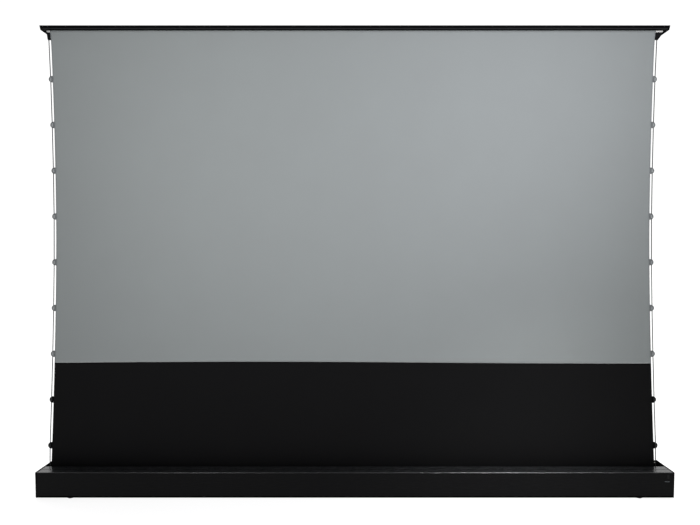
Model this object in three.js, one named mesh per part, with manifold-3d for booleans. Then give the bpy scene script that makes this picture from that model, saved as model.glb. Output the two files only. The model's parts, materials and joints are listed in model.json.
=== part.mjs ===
// A floor-standing projection screen that a motor and two spring arms raise out of a long base box.
// Millimetres. +Z is up, +X is to the right of someone who faces the screen, and they stand on the -Y side.
// The origin is on the floor under the middle of the box. The front of the sheet lies at y = 0.
import * as THREE from "three";
import { mergeVertices } from "three/addons/utils/BufferGeometryUtils.js";
import Module from "manifold-3d";

const wasm = await Module();
wasm.setup();

// Fits
const clearance = 0.3;
const overrun = 1;
const weldDistance = 0.0005;
const arcSteps = 6;
const fineSteps = 24;
const roundSteps = 20;
const pinSteps = 12;
const smallSteps = 8;
const cornerSteps = 2;
const gapSamples = 1600;

// Base box
const baseLength = 2796;
const baseDepth = 165;
const baseHeight = 110;
const footHeight = 4;
const footRadius = 14;
const footInsetX = 150;
const footInsetY = 16.5;
const housingWall = 2.5;
const stripDepth = 77;
const slotAhead = 5.5;
const rearFlangeDepth = 10.5;
const slotLipDrop = 7;
const slotLipWall = 2;
const coverHookHeight = 26;
const coverHookDepth = 3.5;
const coverHookWall = 2;
const stripGrooveFromFront = 39;
const stripGrooveWidth = 2;
const stripGrooveDepth = 0.8;
const baseEdgeRadius = 1.5;
const screwPortRadius = 4.5;
const screwPortBore = 2;
const screwPortInset = 5.5;
const screwPortMouth = 1.6;
const coverPortFromFront = 20;
const baseCapThickness = 7;
const baseCapDraft = 3;
const baseCapSpigot = 3.5;
const baseCapSpigotWall = 2.5;
const capLugLength = 20;
const capLugDepth = 16;
const capLugDrop = 7;
const capLugHeight = 9;
const lugBoreFromEnd = 18.5;
const lugBoreRadius = 2.1;

// Screen
const totalHeight = 2081;
const fabricShift = -9;
const sheetThickness = 0.5;
const sheetEndRoom = 62.6;
const waistShare = 0.533;
const topRise = 25;
const bottomRise = 24;
const cornerFlare = 4;
const edgeBowShare = 1.7;
const flareBowShare = 30;
const borderPitchShare = 1.8155;
const edgeSteps = 18;

// Tabs and tension cords
const tabCount = 9;
const blackTabCount = 2;
const lowestTab = 208;
const highestTabDrop = 216.4;
const cordOffset = 9;
const cordRadius = 1.5;
const cordSides = 6;
const cordStepsPerStretch = 2;
const cordBore = 1.9;
const tabHalfHeight = 15;
const tabEndRadius = 9.5;
const tabEndOffset = 6;
const tabEndDegrees = 75;
const tabBossRadius = 4;
const tabBossHalfLength = 8;
const tabBoreRadius = 2.1;
const tabSteps = 4;
const bandWidth = 14;
const bandThickness = 0.8;
const bandTopGap = 24;

// Roller
const tubeRadius = 30;
const tubeWall = 1.6;
const rollerHeight = 57;
const windingPitch = 0.95;
const windingTurns = 1.25;
const windingSteps = 28;
const spoolFlangeRadius = 40;
const spoolFlangeWall = 1.5;
const spoolGrooveWidth = 9;
const spoolNeck = 28;
const spoolGap = 0.6;
const cordLanding = 2;
const wrapPitch = 3.6;
const wrapTurns = 1.25;
const wrapSteps = 24;
const wrapSides = 6;
const motorRadius = 22.5;
const motorLength = 560;
const motorHeadRadius = 26;
const motorHeadLength = 8;
const motorShaftRadius = 8;
const motorShaftLength = 16;
const driveWheelWidth = 12;
const driveWheelSpokes = 6;
const driveSpokeWindow = 7;
const driveWindowRadius = 19;
const stubSide = 12;
const idlerPinRadius = 5;
const idlerPinReach = 34;
const idlerRivetRadius = 8;
const idlerRivetHeight = 1.2;
const rollerPlateWall = 3;
const rollerPlateFoot = 16;
const rollerPlateFront = 41;
const rollerPlateRear = 39;
const rollerPlateTop = 39;
const rollerPlateShoulder = 21;
const rollerPlateNotch = 22;
const rollerPlateCorner = 5;

// Folding arms
const armInset = 338;
const armRestDegrees = 80.28;
const basePivotHeight = 50;
const lidPivotDrop = 40;
const armHalfWidth = 17;
const armDepth = 20;
const lowerArmFront = 14;
const upperArmFront = 38;
const armWall = 2.5;
const armEndLength = 45;
const armRibCount = 3;
const armRibWall = 4;
const forkLength = 70;
const forkOpening = 30;
const forkEar = 3;
const pivotPinRadius = 6;
const pinHeadRadius = 10;
const pinHeadWall = 2.5;
const pinCollarRadius = 12;
const pivotEarWall = 3;
const pivotEarRadius = 14;
const pivotFootHalf = 28;
const pivotEarLean = 15;
const pulleyRadius = 15;
const pulleyFlange = 3;
const cableRadius = 1.25;
const cableTrackRadius = 12.8;
const cableSides = 6;
const cableArcSteps = 10;
const cableWrapDegrees = 100;
const springCurls = 18;
const springPitch = 12;
const springRadius = 5.5;
const springWire = 1.5;
const springLead = 8;
const springPost = 12;
const springPostHalf = 8;
const springStepsPerCurl = 8;
const springSides = 5;

// Lid
const lidEndInset = 3;
const lidDepth = 130;
const lidOverhang = 52.5;
const lipHeight = 21;
const lidWall = 2.5;
const skirtWall = 3;
const plateTongueDepth = 1;
const plateTongueHeight = 1.2;
const lidEdgeRadius = 2;
const lipGrooveHeight = 9;
const lipGrooveWidth = 2;
const lipGrooveDepth = 0.8;
const lidCapLength = 12;
const lidCapWall = 7;
const lidCapDraft = 5;
const lidTongueLength = 6;
const lidTongueWall = 3;
const lidTongueInset = 12;
const hemRodRadius = 5;
const hemLoopDegrees = 230;
const rodSleeveGap = 1;
const gussetDrop = 45.6;
const gussetShelf = 3;
const gussetWeb = 4;
const gussetRim = 3;
const gussetRecess = 1;
const gussetBossRadius = 4.5;
const gussetInnerGap = 1;
const anchorDepth = 9;

// Controls
const windowWidth = 11;
const windowHeight = 18;
const windowDrop = 18;
const windowFromEnd = 27;
const lightLength = 22;
const lightHeight = 3;
const lightDrop = 40;
const trimFlange = 2;
const trimFlangeWall = 1;
const panelWidth = 112;
const panelHeight = 46;
const panelCentreHeight = 58;
const panelFromEnd = 96;
const panelWall = 3;
const panelCorner = 3;
const panelInset = 2;
const inletWidth = 25;
const inletHeight = 17;
const inletDepth = 15;
const inletWall = 2;
const inletPinRadius = 1.6;
const inletPinSpacing = 6;
const inletPinRise = 2.4;
const inletPinLength = 9;
const rockerWidth = 13;
const rockerHalfHeight = 10;
const rockerDepth = 6;
const rockerPlay = 2;
const rockerTiltDegrees = 7;
const rockerAxleRadius = 1.5;
const buttonRadius = 5;
const buttonFlangeRadius = 7;
const buttonFlangeWall = 1.5;
const panelSpacing = 36;
const controlBoxLength = 120;
const controlBoxDepth = 40;
const controlBoxHeight = 50;
const controlBoxGap = 20;
const controlBoxCorner = 4;
const controlBoxRibPitch = 30;
const controlBoxRib = 2;

// Places worked out from the sizes
const baseHalf = baseLength / 2;
const slotFront = -slotAhead;
const baseFront = slotFront - stripDepth;
const baseRear = baseFront + baseDepth;
const baseBottom = footHeight;
const baseTop = footHeight + baseHeight;
const floorTop = baseBottom + housingWall;
const slotRear = baseRear - rearFlangeDepth;
const baseCapInner = baseHalf - baseCapThickness;
const shellEnd = baseCapInner - clearance;
const lidHalf = baseHalf - lidEndInset;
const lidFront = -lidOverhang;
const lidRear = lidFront + lidDepth;
const lidTop = totalHeight;
const lidUnder = lidTop - lidWall;
const lipBottom = lidTop - lipHeight;
const lidCapSeam = lidHalf - lidCapLength;
const lidCapInner = lidHalf - lidCapWall;
const hemOuter = hemRodRadius + clearance + sheetThickness;
const hemY = hemOuter;
const hemZ = lidUnder - clearance - hemOuter;
const rollerY = -(tubeRadius + windingPitch * windingTurns + clearance);
const windingRadius = -rollerY;
const sheetBottom = rollerHeight + clearance;
const waistHalfWidth = baseHalf - sheetEndRoom;
const waistHeight = rollerHeight + waistShare * (hemZ - rollerHeight);
const tabPitch = (hemZ - highestTabDrop - lowestTab) / (tabCount - 1);
const borderHeight = lowestTab + borderPitchShare * tabPitch;
const lidPivotHeight = totalHeight - lidPivotDrop;
const restAngle = THREE.MathUtils.degToRad(armRestDegrees);
const armLength = (lidPivotHeight - basePivotHeight) / (2 * Math.sin(restAngle));
const armSpread = baseHalf - armInset;
const lowestEdge = edgeHalfWidth(sheetBottom);
const spoolInner = lowestEdge + spoolGap;
const spoolGroove = spoolInner + spoolFlangeWall;
const spoolOuter = spoolGroove + spoolGrooveWidth + spoolFlangeWall;
const cordFoot = spoolGroove + cordLanding;
const spoolFloor = windingRadius - cordRadius - clearance;
const gussetTop = hemZ - hemOuter - clearance;
const gussetTip = gussetTop - gussetDrop + gussetShelf + gussetBossRadius * 2;
const cordTop = gussetTip - clearance + anchorDepth;
const cordTopOffset = edgeHalfWidth(gussetTip) + cordOffset;

// Half the sheet's width at a height. Both side edges are pulled in between the corners by the tabs, in a
// power curve from the waist, and open out a little more in the last stretch under the hem.
function edgeHalfWidth(height) {
  if (height < waistHeight) {
    const down = (waistHeight - height) / (waistHeight - rollerHeight);
    return waistHalfWidth + bottomRise * down ** edgeBowShare;
  }
  const up = Math.min(1, (height - waistHeight) / (hemZ - waistHeight));
  return waistHalfWidth + topRise * up ** edgeBowShare + cornerFlare * up ** flareBowShare;
}

// Closed meshes, and the sums and differences of their solids
function facesOut(geometry) {
  const bare = geometry.index ? geometry.toNonIndexed() : geometry.clone();
  bare.deleteAttribute("normal");
  bare.deleteAttribute("uv");
  const welded = mergeVertices(bare, weldDistance);
  const corners = Array.from(welded.index.array);
  const at = welded.attributes.position;
  const [a, b, c] = [new THREE.Vector3(), new THREE.Vector3(), new THREE.Vector3()];
  let volume = 0;
  for (let i = 0; i < corners.length; i += 3) {
    a.fromBufferAttribute(at, corners[i]);
    b.fromBufferAttribute(at, corners[i + 1]);
    c.fromBufferAttribute(at, corners[i + 2]);
    volume += a.dot(b.cross(c));
  }
  if (volume < 0) corners.reverse();
  welded.setIndex(corners);
  return welded;
}

function toSolid(geometry) {
  const closed = facesOut(geometry);
  return new wasm.Manifold(
    new wasm.Mesh({
      numProp: 3,
      vertProperties: closed.attributes.position.array,
      triVerts: new Uint32Array(closed.index.array),
    }),
  );
}

function toGeometry(solid) {
  const mesh = solid.getMesh();
  const geometry = new THREE.BufferGeometry();
  geometry.setAttribute("position", new THREE.BufferAttribute(mesh.vertProperties, 3));
  geometry.setIndex(new THREE.BufferAttribute(mesh.triVerts, 1));
  return geometry;
}

function join(...pieces) {
  return toGeometry(pieces.map(toSolid).reduce((whole, next) => whole.add(next)));
}

function cut(piece, ...cutters) {
  return toGeometry(cutters.map(toSolid).reduce((rest, next) => rest.subtract(next), toSolid(piece)));
}

function common(piece, other) {
  return toGeometry(toSolid(piece).intersect(toSolid(other)));
}

// Outlines
function outline(points) {
  return new THREE.Shape(points.map(([a, b]) => new THREE.Vector2(a, b)));
}

function roundedBox(a0, b0, a1, b1, radius) {
  const shape = new THREE.Shape();
  shape.absarc(a1 - radius, b0 + radius, radius, -Math.PI / 2, 0);
  shape.absarc(a1 - radius, b1 - radius, radius, 0, Math.PI / 2);
  shape.absarc(a0 + radius, b1 - radius, radius, Math.PI / 2, Math.PI);
  shape.absarc(a0 + radius, b0 + radius, radius, Math.PI, (3 * Math.PI) / 2);
  return shape;
}

function slotShape(from, to, radius) {
  const shape = new THREE.Shape();
  shape.absarc(to, 0, radius, -Math.PI / 2, Math.PI / 2);
  shape.absarc(from, 0, radius, Math.PI / 2, (3 * Math.PI) / 2);
  return shape;
}

// Extrusions: the outline is drawn in the other two axes, in the order X, Y, Z
function extrude(shape, depth, steps) {
  return new THREE.ExtrudeGeometry(shape, { depth, bevelEnabled: false, curveSegments: steps });
}

function alongX(shape, from, to, steps = arcSteps) {
  const [x, y, z] = [new THREE.Vector3(1, 0, 0), new THREE.Vector3(0, 1, 0), new THREE.Vector3(0, 0, 1)];
  const turned = new THREE.Matrix4().makeBasis(y, z, x);
  return extrude(shape, to - from, steps).applyMatrix4(turned).translate(from, 0, 0);
}

function alongY(shape, from, to, steps = arcSteps) {
  return extrude(shape, to - from, steps).rotateX(Math.PI / 2).translate(0, to, 0);
}

function alongZ(shape, from, to, steps = arcSteps) {
  return extrude(shape, to - from, steps).translate(0, 0, from);
}

function block(x0, x1, y0, y1, z0, z1) {
  return alongX(outline([[y0, z0], [y1, z0], [y1, z1], [y0, z1]]), x0, x1);
}

// Revolved bodies: the profile is [distance along the axis, radius], and closes on the axis or on itself
function turned(profile, axis, at, steps = roundSteps) {
  const points = profile.map(([along, radius]) => new THREE.Vector2(radius, along));
  const body = facesOut(new THREE.LatheGeometry(points, steps));
  if (axis === "x") body.rotateZ(-Math.PI / 2);
  if (axis === "z") body.rotateX(Math.PI / 2);
  return body.translate(...at);
}

function rod(from, to, radius, axis, at, steps = roundSteps) {
  return turned([[from, 0], [from, radius], [to, radius], [to, 0]], axis, at, steps);
}

// The same profile closed along a bore instead of the axis
function ring(profile, bore) {
  const [first] = profile;
  const last = profile[profile.length - 1];
  return [[first[0], bore], ...profile, [last[0], bore], [first[0], bore]];
}

// A tube along a curve, with flat ends
function tubeAlong(curve, radius, sides, steps) {
  const section = new THREE.Shape();
  for (let i = 0; i < sides; i++) {
    const angle = (i / sides) * 2 * Math.PI;
    const [a, b] = [radius * Math.cos(angle), radius * Math.sin(angle)];
    if (i) section.lineTo(a, b);
    else section.moveTo(a, b);
  }
  section.closePath();
  return new THREE.ExtrudeGeometry(section, { steps, extrudePath: curve, bevelEnabled: false });
}

// The least free space between stretches of one tube that lie at least half a turn apart along it
function leastGap(name, curve, thickness, halfTurn) {
  const points = curve.getPoints(gapSamples);
  const along = [0];
  for (let i = 1; i < points.length; i++) along.push(along[i - 1] + points[i].distanceTo(points[i - 1]));
  let least = Infinity;
  for (let i = 0; i < points.length; i++) {
    for (let j = i + 1; j < points.length; j++) {
      if (along[j] - along[i] > halfTurn) least = Math.min(least, points[i].distanceTo(points[j]));
    }
  }
  console.log(`${name}: least gap to itself ${(least - thickness).toFixed(2)} mm`);
}

// A curve given by a function of t from 0 to 1, whose sections stand at equal steps of t
class CurveOf extends THREE.Curve {
  constructor(pointAt) {
    super();
    this.pointAt = pointAt;
  }

  getPoint(t) {
    return this.pointAt(t);
  }

  getUtoTmapping(u) {
    return u;
  }
}

// Finishes
function finish(color, roughness, metalness) {
  return new THREE.MeshStandardMaterial({ color, roughness, metalness });
}

const blackAnodised = finish(0x16171a, 0.35, 0.6);
const blackAbs = finish(0x121214, 0.45, 0);
const blackRubber = finish(0x0d0d0d, 0.9, 0);
const blackSteel = finish(0x1a1a1c, 0.5, 0.5);
const zincSteel = finish(0xb4b6ba, 0.35, 1);
const springSteel = finish(0x8e9196, 0.3, 1);
const bareAluminium = finish(0xc9cbcd, 0.3, 1);
const acetal = finish(0xe4e3dc, 0.45, 0);
const greySheeting = finish(0x8f9391, 0.75, 0);
const blackSheeting = finish(0x151516, 0.8, 0);
const tabGrey = finish(0x9ea1a0, 0.6, 0);
const braidedCord = finish(0xc8c9c8, 0.7, 0);
const tintedWindow = finish(0x0b0c10, 0.08, 0);
const milkyLens = finish(0x9aa0a4, 0.3, 0);

const screen = new THREE.Group();

function add(name, geometry, material, group = screen) {
  const mesh = new THREE.Mesh(facesOut(geometry), material);
  mesh.geometry.computeVertexNormals();
  mesh.name = name;
  group.add(mesh);
  return mesh;
}

const sides = [["left", -1], ["right", 1]];

// Housing: a tray and a front cover, both long extrusions, closed by a moulded cap at each end
function screwPort(y, z, mouthAngle) {
  const ringShape = new THREE.Shape().absarc(y, z, screwPortRadius, 0, 2 * Math.PI);
  const bore = new THREE.Shape().absarc(y, z, screwPortBore, 0, 2 * Math.PI);
  const mouth = outline([
    [0, -screwPortMouth / 2],
    [screwPortRadius + overrun, -screwPortMouth / 2],
    [screwPortRadius + overrun, screwPortMouth / 2],
    [0, screwPortMouth / 2],
  ]);
  const gap = alongX(mouth, -baseHalf, baseHalf).rotateX(mouthAngle).translate(0, y, z);
  return {
    body: alongX(ringShape, -shellEnd, shellEnd, smallSteps),
    cutters: [alongX(bore, -baseHalf, baseHalf, smallSteps), gap],
  };
}

const trayPort = [baseRear - screwPortInset, floorTop + screwPortInset - housingWall];
const coverPort = [baseFront + coverPortFromFront, baseTop - screwPortInset];

function panelOpening(grow) {
  const centre = baseCapInner - panelFromEnd;
  return roundedBox(
    centre - panelWidth / 2 - grow,
    panelCentreHeight - panelHeight / 2 - grow,
    centre + panelWidth / 2 + grow,
    panelCentreHeight + panelHeight / 2 + grow,
    panelCorner + grow,
  );
}

function housingTray() {
  const front = baseFront + housingWall + clearance;
  const hookTop = baseBottom + coverHookHeight;
  const profile = outline([
    [front, baseBottom],
    [baseRear, baseBottom],
    [baseRear, baseTop - baseEdgeRadius],
    [baseRear - baseEdgeRadius, baseTop],
    [slotRear, baseTop],
    [slotRear, baseTop - slotLipDrop],
    [slotRear + slotLipWall, baseTop - slotLipDrop],
    [slotRear + slotLipWall, baseTop - housingWall],
    [baseRear - housingWall, baseTop - housingWall],
    [baseRear - housingWall, floorTop],
    [front + housingWall, floorTop],
    [front + housingWall, hookTop],
    [front, hookTop],
  ]);
  const port = screwPort(...trayPort, Math.PI - Math.PI / 4);
  const body = join(alongX(profile, -shellEnd, shellEnd), port.body);
  const opening = alongY(panelOpening(0), baseRear - housingWall - overrun, baseRear + overrun, cornerSteps);
  return cut(body, opening, ...port.cutters);
}

function windowOpening(halfWidth, halfHeight, x, z, y0, y1) {
  return block(x - halfWidth, x + halfWidth, y0, y1, z - halfHeight, z + halfHeight);
}

const windowX = baseHalf - windowFromEnd;
const windowZ = baseTop - windowDrop;
const lightX = windowX + windowWidth / 2 - lightLength / 2;
const lightZ = baseTop - lightDrop;

function frontCover() {
  const hookZ = baseBottom + coverHookHeight + clearance;
  const grooveY = baseFront + stripGrooveFromFront;
  const inner = baseFront + housingWall;
  const profile = outline([
    [baseFront, baseBottom + baseEdgeRadius],
    [baseFront + baseEdgeRadius, baseBottom],
    [inner, baseBottom],
    [inner, hookZ],
    [inner + coverHookDepth, hookZ],
    [inner + coverHookDepth, hookZ + coverHookWall],
    [inner, hookZ + coverHookWall],
    [inner, baseTop - housingWall],
    [slotFront - slotLipWall, baseTop - housingWall],
    [slotFront - slotLipWall, baseTop - slotLipDrop],
    [slotFront, baseTop - slotLipDrop],
    [slotFront, baseTop],
    [grooveY + stripGrooveWidth / 2, baseTop],
    [grooveY + stripGrooveWidth / 2, baseTop - stripGrooveDepth],
    [grooveY - stripGrooveWidth / 2, baseTop - stripGrooveDepth],
    [grooveY - stripGrooveWidth / 2, baseTop],
    [baseFront + baseEdgeRadius, baseTop],
    [baseFront, baseTop - baseEdgeRadius],
  ]);
  const port = screwPort(...coverPort, -Math.PI / 2);
  const body = join(alongX(profile, -shellEnd, shellEnd), port.body);
  const through = [baseFront - overrun, inner + overrun];
  return cut(
    body,
    ...port.cutters,
    windowOpening(windowWidth / 2, windowHeight / 2, windowX, windowZ, ...through),
    windowOpening(lightLength / 2, lightHeight / 2, lightX, lightZ, ...through),
  );
}

// The cap's outer face leans in towards the floor
function leanIn(geometry, outerX, bottom, height, draft) {
  const at = geometry.attributes.position;
  for (let i = 0; i < at.count; i++) {
    if (at.getX(i) < outerX - overrun / 2) continue;
    at.setX(i, outerX - draft * (1 - (at.getZ(i) - bottom) / height));
  }
  return geometry;
}

const lugTop = baseTop - capLugDrop;
const lugCentreY = slotRear - clearance - capLugDepth / 2;
const lugBoreX = baseHalf - lugBoreFromEnd;

function baseCap() {
  const face = roundedBox(baseFront, baseBottom, baseRear, baseTop, baseEdgeRadius);
  const outerPlate = alongX(face, baseCapInner, baseHalf, cornerSteps);
  const plate = leanIn(outerPlate, baseHalf, baseBottom, baseHeight, baseCapDraft);
  const outer = housingWall + clearance;
  const front = baseFront + outer + housingWall + clearance;
  const spigot = (inset) =>
    outline([
      [front + inset, floorTop + clearance + inset],
      [baseRear - outer - inset, floorTop + clearance + inset],
      [baseRear - outer - inset, baseTop - outer - inset],
      [front + inset, baseTop - outer - inset],
    ]);
  const start = baseCapInner - baseCapSpigot;
  const slotSides = [slotFront - slotLipWall - clearance, slotRear + slotLipWall + clearance];
  const collar = cut(
    alongX(spigot(0), start, baseCapInner + overrun),
    alongX(spigot(baseCapSpigotWall), start - overrun, baseCapInner),
    block(start - overrun, baseCapInner, ...slotSides, baseTop - slotLipDrop - outer, baseTop),
    ...[coverPort, trayPort].map(([y, z]) =>
      rod(start - overrun, baseCapInner, screwPortRadius + clearance, "x", [0, y, z], pinSteps),
    ),
    block(start - overrun, baseCapInner, front - overrun, front + coverHookDepth,
      baseBottom + coverHookHeight - clearance, baseBottom + coverHookHeight + coverHookWall + 2 * clearance),
  );
  const lug = block(baseCapInner - capLugLength, baseCapInner + overrun, lugCentreY - capLugDepth / 2,
    lugCentreY + capLugDepth / 2, lugTop - capLugHeight, lugTop);
  const bore = rod(lugTop - capLugHeight - overrun, lugTop + overrun, lugBoreRadius, "z",
    [lugBoreX, lugCentreY, 0], smallSteps);
  return cut(join(plate, collar, lug), bore);
}

function foot() {
  const chamfer = footHeight / 4;
  return turned(
    [
      [0, 0],
      [0, footRadius - chamfer],
      [chamfer, footRadius],
      [footHeight - clearance / 2, footRadius],
      [footHeight - clearance / 2, 0],
    ],
    "z",
    [0, 0, 0],
    pinSteps,
  );
}

add("housing_tray", housingTray(), blackAnodised);
add("front_cover", frontCover(), blackAnodised);
for (const [side, sign] of sides) {
  add(`end_cap_${side}`, baseCap(), blackAbs).scale.x = sign;
  for (const [row, y] of [["front", baseFront + footInsetY], ["rear", baseRear - footInsetY]]) {
    const pad = add(`foot_${row}_${side}`, foot(), blackRubber);
    pad.position.set(sign * (baseHalf - footInsetX), y, 0);
  }
}

// Roller: a tube with a cord spool in each end, turned by a motor inside it
const leftEnd = fabricShift - spoolInner;
const rightEnd = fabricShift + spoolInner;
const leftSpoolEnd = fabricShift - spoolOuter;
const rightSpoolEnd = fabricShift + spoolOuter;
const motorPlateX = rightSpoolEnd + clearance + motorHeadLength + clearance;
const idlerPlateX = leftSpoolEnd - clearance - rollerPlateWall;
const tubeBore = tubeRadius - tubeWall;
const plugRadius = tubeBore - clearance;
const rollerAxis = [0, rollerY, rollerHeight];

function rollerTube() {
  const profile = ring([[leftEnd + clearance, tubeRadius], [rightEnd - clearance, tubeRadius]], tubeBore);
  return turned(profile, "x", rollerAxis, fineSteps);
}

// One spool drawn for the right end; the neck plugs into the tube
function spool(bore) {
  const neckStart = rightEnd - clearance - spoolNeck;
  const groove = rightEnd + spoolFlangeWall;
  return turned(
    ring(
      [
        [neckStart, plugRadius],
        [rightEnd, plugRadius],
        [rightEnd, spoolFlangeRadius],
        [groove, spoolFlangeRadius],
        [groove, spoolFloor],
        [groove + spoolGrooveWidth, spoolFloor],
        [groove + spoolGrooveWidth, spoolFlangeRadius],
        [rightSpoolEnd, spoolFlangeRadius],
      ],
      bore,
    ),
    "x",
    rollerAxis,
  );
}

function mirrored(geometry, centre) {
  const flipped = geometry.clone().scale(-1, 1, 1).translate(2 * centre, 0, 0);
  return facesOut(flipped);
}

// The last turns of the sheet on the tube: a flat band whose radius falls by one pitch in each turn
function woundFabric() {
  const count = Math.round(windingSteps * windingTurns);
  const outer = [];
  const inner = [];
  for (let i = 0; i <= count; i++) {
    const turns = (i / count) * windingTurns;
    const angle = -turns * 2 * Math.PI;
    const radius = windingRadius - turns * windingPitch;
    outer.push([(radius + sheetThickness) * Math.cos(angle), (radius + sheetThickness) * Math.sin(angle)]);
    inner.push([radius * Math.cos(angle), radius * Math.sin(angle)]);
  }
  console.log(`wound_fabric: least gap to itself ${(windingPitch - sheetThickness).toFixed(2)} mm`);
  const ends = [fabricShift - lowestEdge, fabricShift + lowestEdge];
  return alongX(outline([...outer, ...inner.reverse()]), ...ends).translate(...rollerAxis);
}

// The cord's last turns on its spool, drawn for the right end, from the point where it comes down at the back
function wrapCurve() {
  return new CurveOf((t) => {
    const turns = t * wrapTurns;
    const angle = -turns * 2 * Math.PI;
    return new THREE.Vector3(
      fabricShift + cordFoot + turns * wrapPitch,
      rollerY + windingRadius * Math.cos(angle),
      rollerHeight + windingRadius * Math.sin(angle),
    );
  });
}

function woundCord() {
  return tubeAlong(wrapCurve(), cordRadius, wrapSides, Math.round(wrapSteps * wrapTurns));
}

function tubularMotor() {
  const headStart = rightSpoolEnd + clearance;
  const bodyStart = rightEnd - motorLength;
  const body = turned(
    [
      [bodyStart - motorShaftLength, 0],
      [bodyStart - motorShaftLength, motorShaftRadius],
      [bodyStart, motorShaftRadius],
      [bodyStart, motorRadius],
      [headStart, motorRadius],
      [headStart, motorHeadRadius],
      [headStart + motorHeadLength, motorHeadRadius],
      [headStart + motorHeadLength, 0],
    ],
    "x",
    rollerAxis,
  );
  const half = stubSide / 2;
  const stub = block(headStart, motorPlateX + rollerPlateWall + half, rollerY - half, rollerY + half,
    rollerHeight - half, rollerHeight + half);
  return join(body, stub);
}

function driveWheel() {
  const start = rightEnd - motorLength - clearance - driveWheelWidth;
  const wheel = turned(
    ring([[start, plugRadius], [start + driveWheelWidth, plugRadius]], motorShaftRadius + clearance),
    "x",
    rollerAxis,
  );
  const holes = Array.from({ length: driveWheelSpokes }, (_, i) => {
    const angle = (i / driveWheelSpokes) * 2 * Math.PI;
    const y = rollerY + driveWindowRadius * Math.cos(angle);
    const z = rollerHeight + driveWindowRadius * Math.sin(angle);
    const reach = [start - overrun, start + driveWheelWidth + overrun];
    return rod(...reach, driveSpokeWindow / 2, "x", [0, y, z], smallSteps);
  });
  return cut(wheel, ...holes);
}

// A bent steel plate on the tray floor, low at the back so that the lid's gusset clears it
function rollerPlate(x, footSign) {
  const shape = new THREE.Shape();
  const [front, rear] = [rollerY - rollerPlateFront, rollerY + rollerPlateRear];
  const [bottom, top, shoulder] = [
    floorTop + clearance,
    rollerHeight + rollerPlateTop,
    rollerHeight + rollerPlateShoulder,
  ];
  const notch = rollerY + rollerPlateNotch;
  shape.moveTo(front, bottom);
  shape.lineTo(rear, bottom);
  shape.lineTo(rear, shoulder - rollerPlateCorner);
  shape.absarc(rear - rollerPlateCorner, shoulder - rollerPlateCorner, rollerPlateCorner, 0, Math.PI / 2);
  shape.lineTo(notch, shoulder);
  shape.lineTo(notch, top - rollerPlateCorner);
  shape.absarc(notch - rollerPlateCorner, top - rollerPlateCorner, rollerPlateCorner, 0, Math.PI / 2);
  shape.absarc(front + rollerPlateCorner, top - rollerPlateCorner, rollerPlateCorner, Math.PI / 2, Math.PI);
  const plate = alongX(shape, x, x + rollerPlateWall, cornerSteps);
  const footEnd = footSign > 0 ? x + rollerPlateWall + rollerPlateFoot : x - rollerPlateFoot;
  const ends = [x + rollerPlateWall / 2, footEnd];
  const flange = block(Math.min(...ends), Math.max(...ends), front, rear, bottom, bottom + rollerPlateWall);
  return join(plate, flange);
}

function motorPlate() {
  const half = stubSide / 2 + clearance;
  const reach = [motorPlateX - overrun, motorPlateX + rollerPlateWall + overrun];
  const hole = block(...reach, rollerY - half, rollerY + half, rollerHeight - half, rollerHeight + half);
  return cut(rollerPlate(motorPlateX, -1), hole);
}

// The idler's axle is riveted into its plate, so the two are one piece
function idlerPlate() {
  const middle = idlerPlateX + rollerPlateWall / 2;
  const axle = turned(
    [
      [idlerPlateX - idlerRivetHeight, 0],
      [idlerPlateX - idlerRivetHeight, idlerPinRadius],
      [idlerPlateX - idlerRivetHeight / 2, idlerRivetRadius],
      [middle, idlerRivetRadius],
      [middle, idlerPinRadius],
      [idlerPlateX + idlerPinReach, idlerPinRadius],
      [idlerPlateX + idlerPinReach, 0],
    ],
    "x",
    rollerAxis,
    pinSteps,
  );
  return join(rollerPlate(idlerPlateX, 1), axle);
}

add("roller_tube", rollerTube(), bareAluminium);
add("motor_side_spool", spool(motorRadius + clearance), acetal);
add("idler_spool", mirrored(spool(idlerPinRadius + clearance), fabricShift), acetal);
add("drive_wheel", driveWheel(), acetal);
add("wound_fabric", woundFabric(), blackSheeting);
add("wound_cord_right", woundCord(), braidedCord);
add("wound_cord_left", mirrored(woundCord(), fabricShift), braidedCord);
add("tubular_motor", tubularMotor(), zincSteel);
add("motor_plate", motorPlate(), zincSteel);
add("idler_plate", idlerPlate(), zincSteel);
leastGap("wound_cord", wrapCurve(), 2 * cordRadius, Math.PI * windingRadius);

// Folding arms: each side has a lower and an upper arm, a spring in the lower one and a cable over the elbow
function armBody(front, pockets) {
  const body = alongY(slotShape(0, armLength, armHalfWidth), front, front + armDepth);
  const inside = armHalfWidth - armWall;
  const depth = [front + armWall, front + armDepth + overrun];
  const cutters = pockets.map(([from, to]) =>
    alongY(roundedBox(from, -inside, to, inside, armWall), ...depth, cornerSteps),
  );
  const bores = [0, armLength].map((x) =>
    rod(front - overrun, front + armDepth + overrun, pivotPinRadius + clearance, "y", [x, 0, 0], pinSteps),
  );
  return cut(body, ...cutters, ...bores);
}

// The lower arm is a channel that opens to the back, with a post for the spring and a fork for the pulley
function lowerArm() {
  const back = lowerArmFront + armDepth;
  const pocketEnd = armLength - forkLength;
  const gap = [lowerArmFront + forkEar, back - forkEar];
  const inside = armHalfWidth - armWall;
  const forked = cut(
    armBody(lowerArmFront, [[armEndLength, pocketEnd]]),
    block(pocketEnd - overrun, armLength - forkOpening + overrun, ...gap, -inside, inside),
    block(armLength - forkOpening, armLength + armHalfWidth + overrun, ...gap, -armHalfWidth - overrun,
      armHalfWidth + overrun),
  );
  const post = block(armEndLength - overrun, armEndLength + springPost, lowerArmFront + armWall - overrun / 2,
    back - forkEar, -springPostHalf, springPostHalf);
  return join(forked, post);
}

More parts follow.
